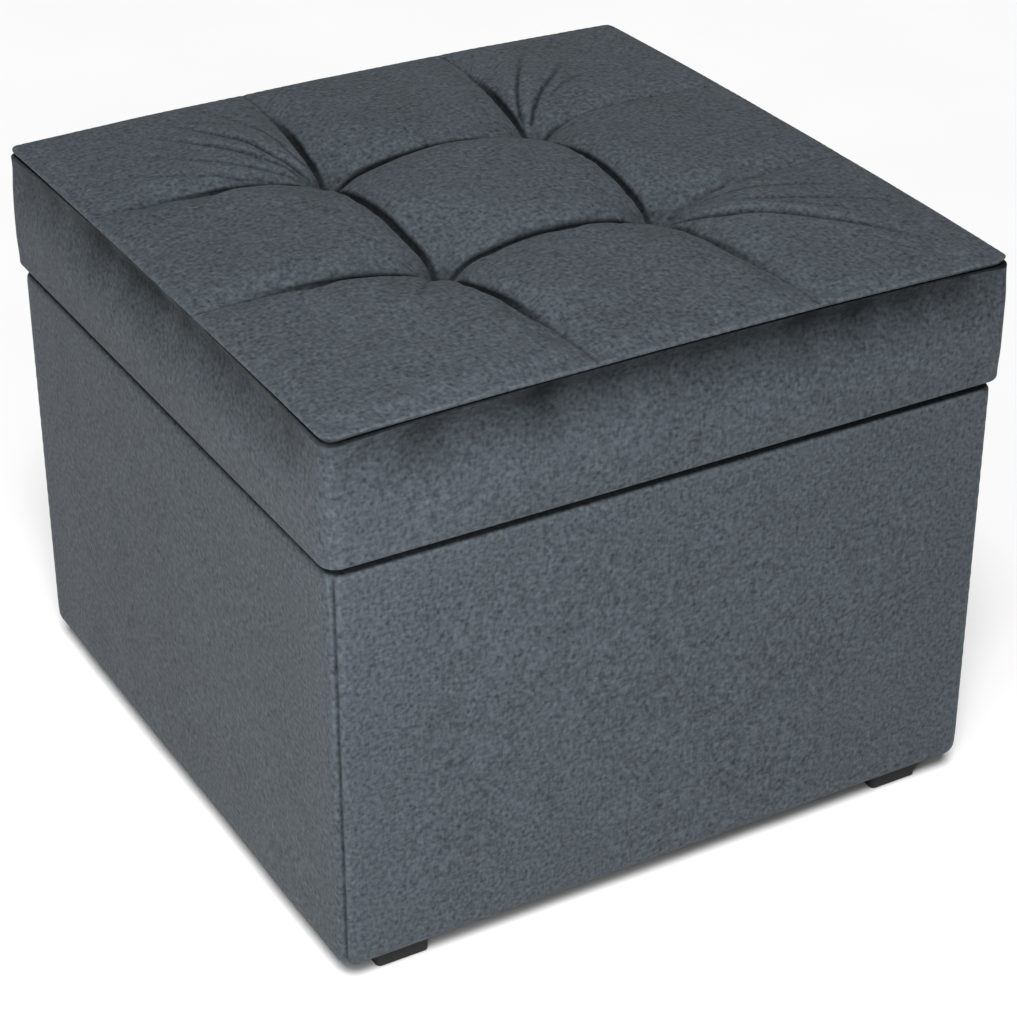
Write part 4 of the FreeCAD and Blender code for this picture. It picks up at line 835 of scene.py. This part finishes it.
def moulded(name, dark, light, texture, roughness):
    """Moulded plastic or rubber: fine spark texture, faint flow marks and scuffed edges."""
    material, tree = new_tree(name)
    place, _ = millimetres(tree)
    fine = grain(tree, place, (1, 1, 1), 1 / texture, 3.0, 0.6)
    flow = grain(tree, place, (1, 1, 0.3), 0.07, 2.0)
    scuff = edge_wear_hollow_shade(tree, 0.5, 0.6, To_Max=0.5)
    tone = calc(tree, "MULTIPLY_ADD", flow, 0.4, scuff)
    tone = calc(tree, "MULTIPLY_ADD", fine, 0.5, tone)
    colour = blend_colour(tree, clamped(tree, tone), dark, light)
    surface_shader(tree, colour, calc(tree, "MULTIPLY_ADD", flow, 0.2, roughness), fine, 0.06)
    return material


def twisted(name, dark, light):
    """Waxed twine: strands wound round its length."""
    material, tree = new_tree(name)
    place, _ = millimetres(tree)
    strands = put(tree, "TexWave", {"bands_direction": "DIAGONAL"}, Vector=place, Scale=0.9,
                  Distortion=1.5, Detail=2.0)
    fuzz = grain(tree, place, (1, 1, 1), 2.4, 3.0, 0.7)
    tone = calc(tree, "MULTIPLY_ADD", fuzz, 0.5, calc(tree, "MULTIPLY", strands.outputs["Fac"], 0.5))
    colour = blend_colour(tree, tone, dark, light)
    rough = calc(tree, "MULTIPLY_ADD", fuzz, 0.2, 0.6)
    surface_shader(tree, colour, rough, tone, 0.2, Sheen_Weight=0.2)
    return material


FINISHES = {
    "grey_cloth": woven(
        "cloth_grey", srgb(33, 37, 41), srgb(74, 81, 87), thread=1.1, slub=2.1, depth=0.3,
        sheen=0.06, tint=(0.8, 0.85, 0.9, 1), roughness=0.88,
    ),
    "black_lining": woven(
        "lining_black", srgb(17, 18, 20), srgb(52, 54, 58), thread=0.9, slub=0.8, depth=0.15,
        sheen=0.15, tint=(0.6, 0.6, 0.65, 1), roughness=0.8,
    ),
    "board": fibreboard("fibreboard", srgb(128, 92, 58), srgb(196, 160, 116)),
    "softwood": wood("softwood_sawn", srgb(152, 104, 60), srgb(214, 178, 128), 0.05),
    "hinge_steel": metal("steel_black", srgb(46, 47, 50), srgb(120, 120, 124), 0.38, 0.7),
    "zinc_steel": metal("steel_zinc", srgb(148, 152, 158), srgb(206, 208, 212), 0.26, 0.8),
    "black_plastic": moulded("plastic_black", srgb(3, 3, 3), srgb(15, 15, 16), 0.5, 0.7),
    "black_rubber": moulded("rubber_black", srgb(16, 16, 16), srgb(40, 40, 41), 0.9, 0.72),
    "twine": twisted("twine_waxed", srgb(40, 42, 46), srgb(104, 108, 114)),
    "foam": moulded("foam_open", srgb(196, 186, 150), srgb(228, 220, 190), 1.2, 0.9),
    "wadding": moulded("wadding_white", srgb(205, 205, 205), srgb(238, 238, 238), 2.0, 0.95),
}


def finish_piece(piece, body, slot):
    """Gives a piece its finish and the body that it moves with."""
    piece.data.materials.clear()
    piece.data.materials.append(FINISHES[slot])
    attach(piece, body)


make_lid_top()
make_lid_band()
make_base_cover()
make_sheets()

# the CAD nodes get their finishes by the names of their slots
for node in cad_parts.values():
    for place in node.material_slots:
        place.material = FINISHES[place.material.name.split(".")[0]]

# ---------------------------------------------------------------- stage, light and camera
FLOOR_HALF, FLOOR_Z = 9000, -0.2
SUN_POWER, LAMP_POWER, WORLD_STRENGTH = 4.7, 3.7, 0.13
AZIMUTH, ELEVATION, DISTANCE = math.radians(-29.8), math.radians(30.2), 2.0
AIM_HEIGHT, AIM_RIGHT, AIM_UP = 0.2, 0.0136, -0.031
LENS, SENSOR = 97.5, 36.0


def make_stage():
    """A pale floor with faint dust."""
    line = np.linspace(-FLOOR_HALF, FLOOR_HALF, 3)
    a, b = np.meshgrid(line, line)
    floor = surface("studio_floor", np.stack([a, b, np.full_like(a, FLOOR_Z)], axis=-1))
    material, tree = new_tree("floor_pale")
    place, _ = millimetres(tree)
    dust = grain(tree, place, (1, 1, 1), 0.004, 2.0)
    colour = blend_colour(tree, dust, (0.68, 0.68, 0.68, 1), (0.72, 0.72, 0.72, 1))
    surface_shader(tree, colour, 0.9, dust, 0.1, 0.1, Specular_IOR_Level=0.1)
    floor.data.materials.append(material)


def add_light(name, kind, place, aim, power, **shape):
    lamp = bpy.data.lights.new(name, kind)
    lamp.energy = power
    for key, value in shape.items():
        setattr(lamp, key, value)
    obj = bpy.data.objects.new(name, lamp)
    obj.location = place
    obj.rotation_euler = (Vector(aim) - Vector(place)).to_track_quat("-Z", "Y").to_euler()
    obj.visible_camera = False
    scene.collection.objects.link(obj)


def add_camera():
    """A camera at the photo's viewing angle, aimed a little beside the ottoman's middle."""
    level = math.cos(ELEVATION)
    look = Vector((-math.sin(AZIMUTH) * level, math.cos(AZIMUTH) * level, -math.sin(ELEVATION)))
    right = Vector((math.cos(AZIMUTH), math.sin(AZIMUTH), 0))
    target = Vector((0, 0, AIM_HEIGHT)) + AIM_RIGHT * right + AIM_UP * right.cross(look)
    camera = bpy.data.objects.new("camera", bpy.data.cameras.new("camera"))
    scene.collection.objects.link(camera)
    camera.location = target - look * DISTANCE
    camera.rotation_euler = look.to_track_quat("-Z", "Y").to_euler()
    camera.data.lens = LENS
    camera.data.sensor_width = SENSOR
    scene.camera = camera


make_stage()
add_light("key", "SUN", (-0.28, -0.47, 0.838), (0, 0, 0), SUN_POWER, angle=math.radians(22))
add_light(
    "near_lamp", "AREA", (-0.48, -0.68, 0.50), (-0.15, -0.2, 0.28), LAMP_POWER, shape="DISK", size=0.35
)
world = bpy.data.worlds.new("studio")
world.use_nodes = True
world.node_tree.nodes["Background"].inputs["Color"].default_value = (1, 1, 1, 1)
world.node_tree.nodes["Background"].inputs["Strength"].default_value = WORLD_STRENGTH
scene.world = world
scene.view_settings.view_transform = "Standard"
add_camera()
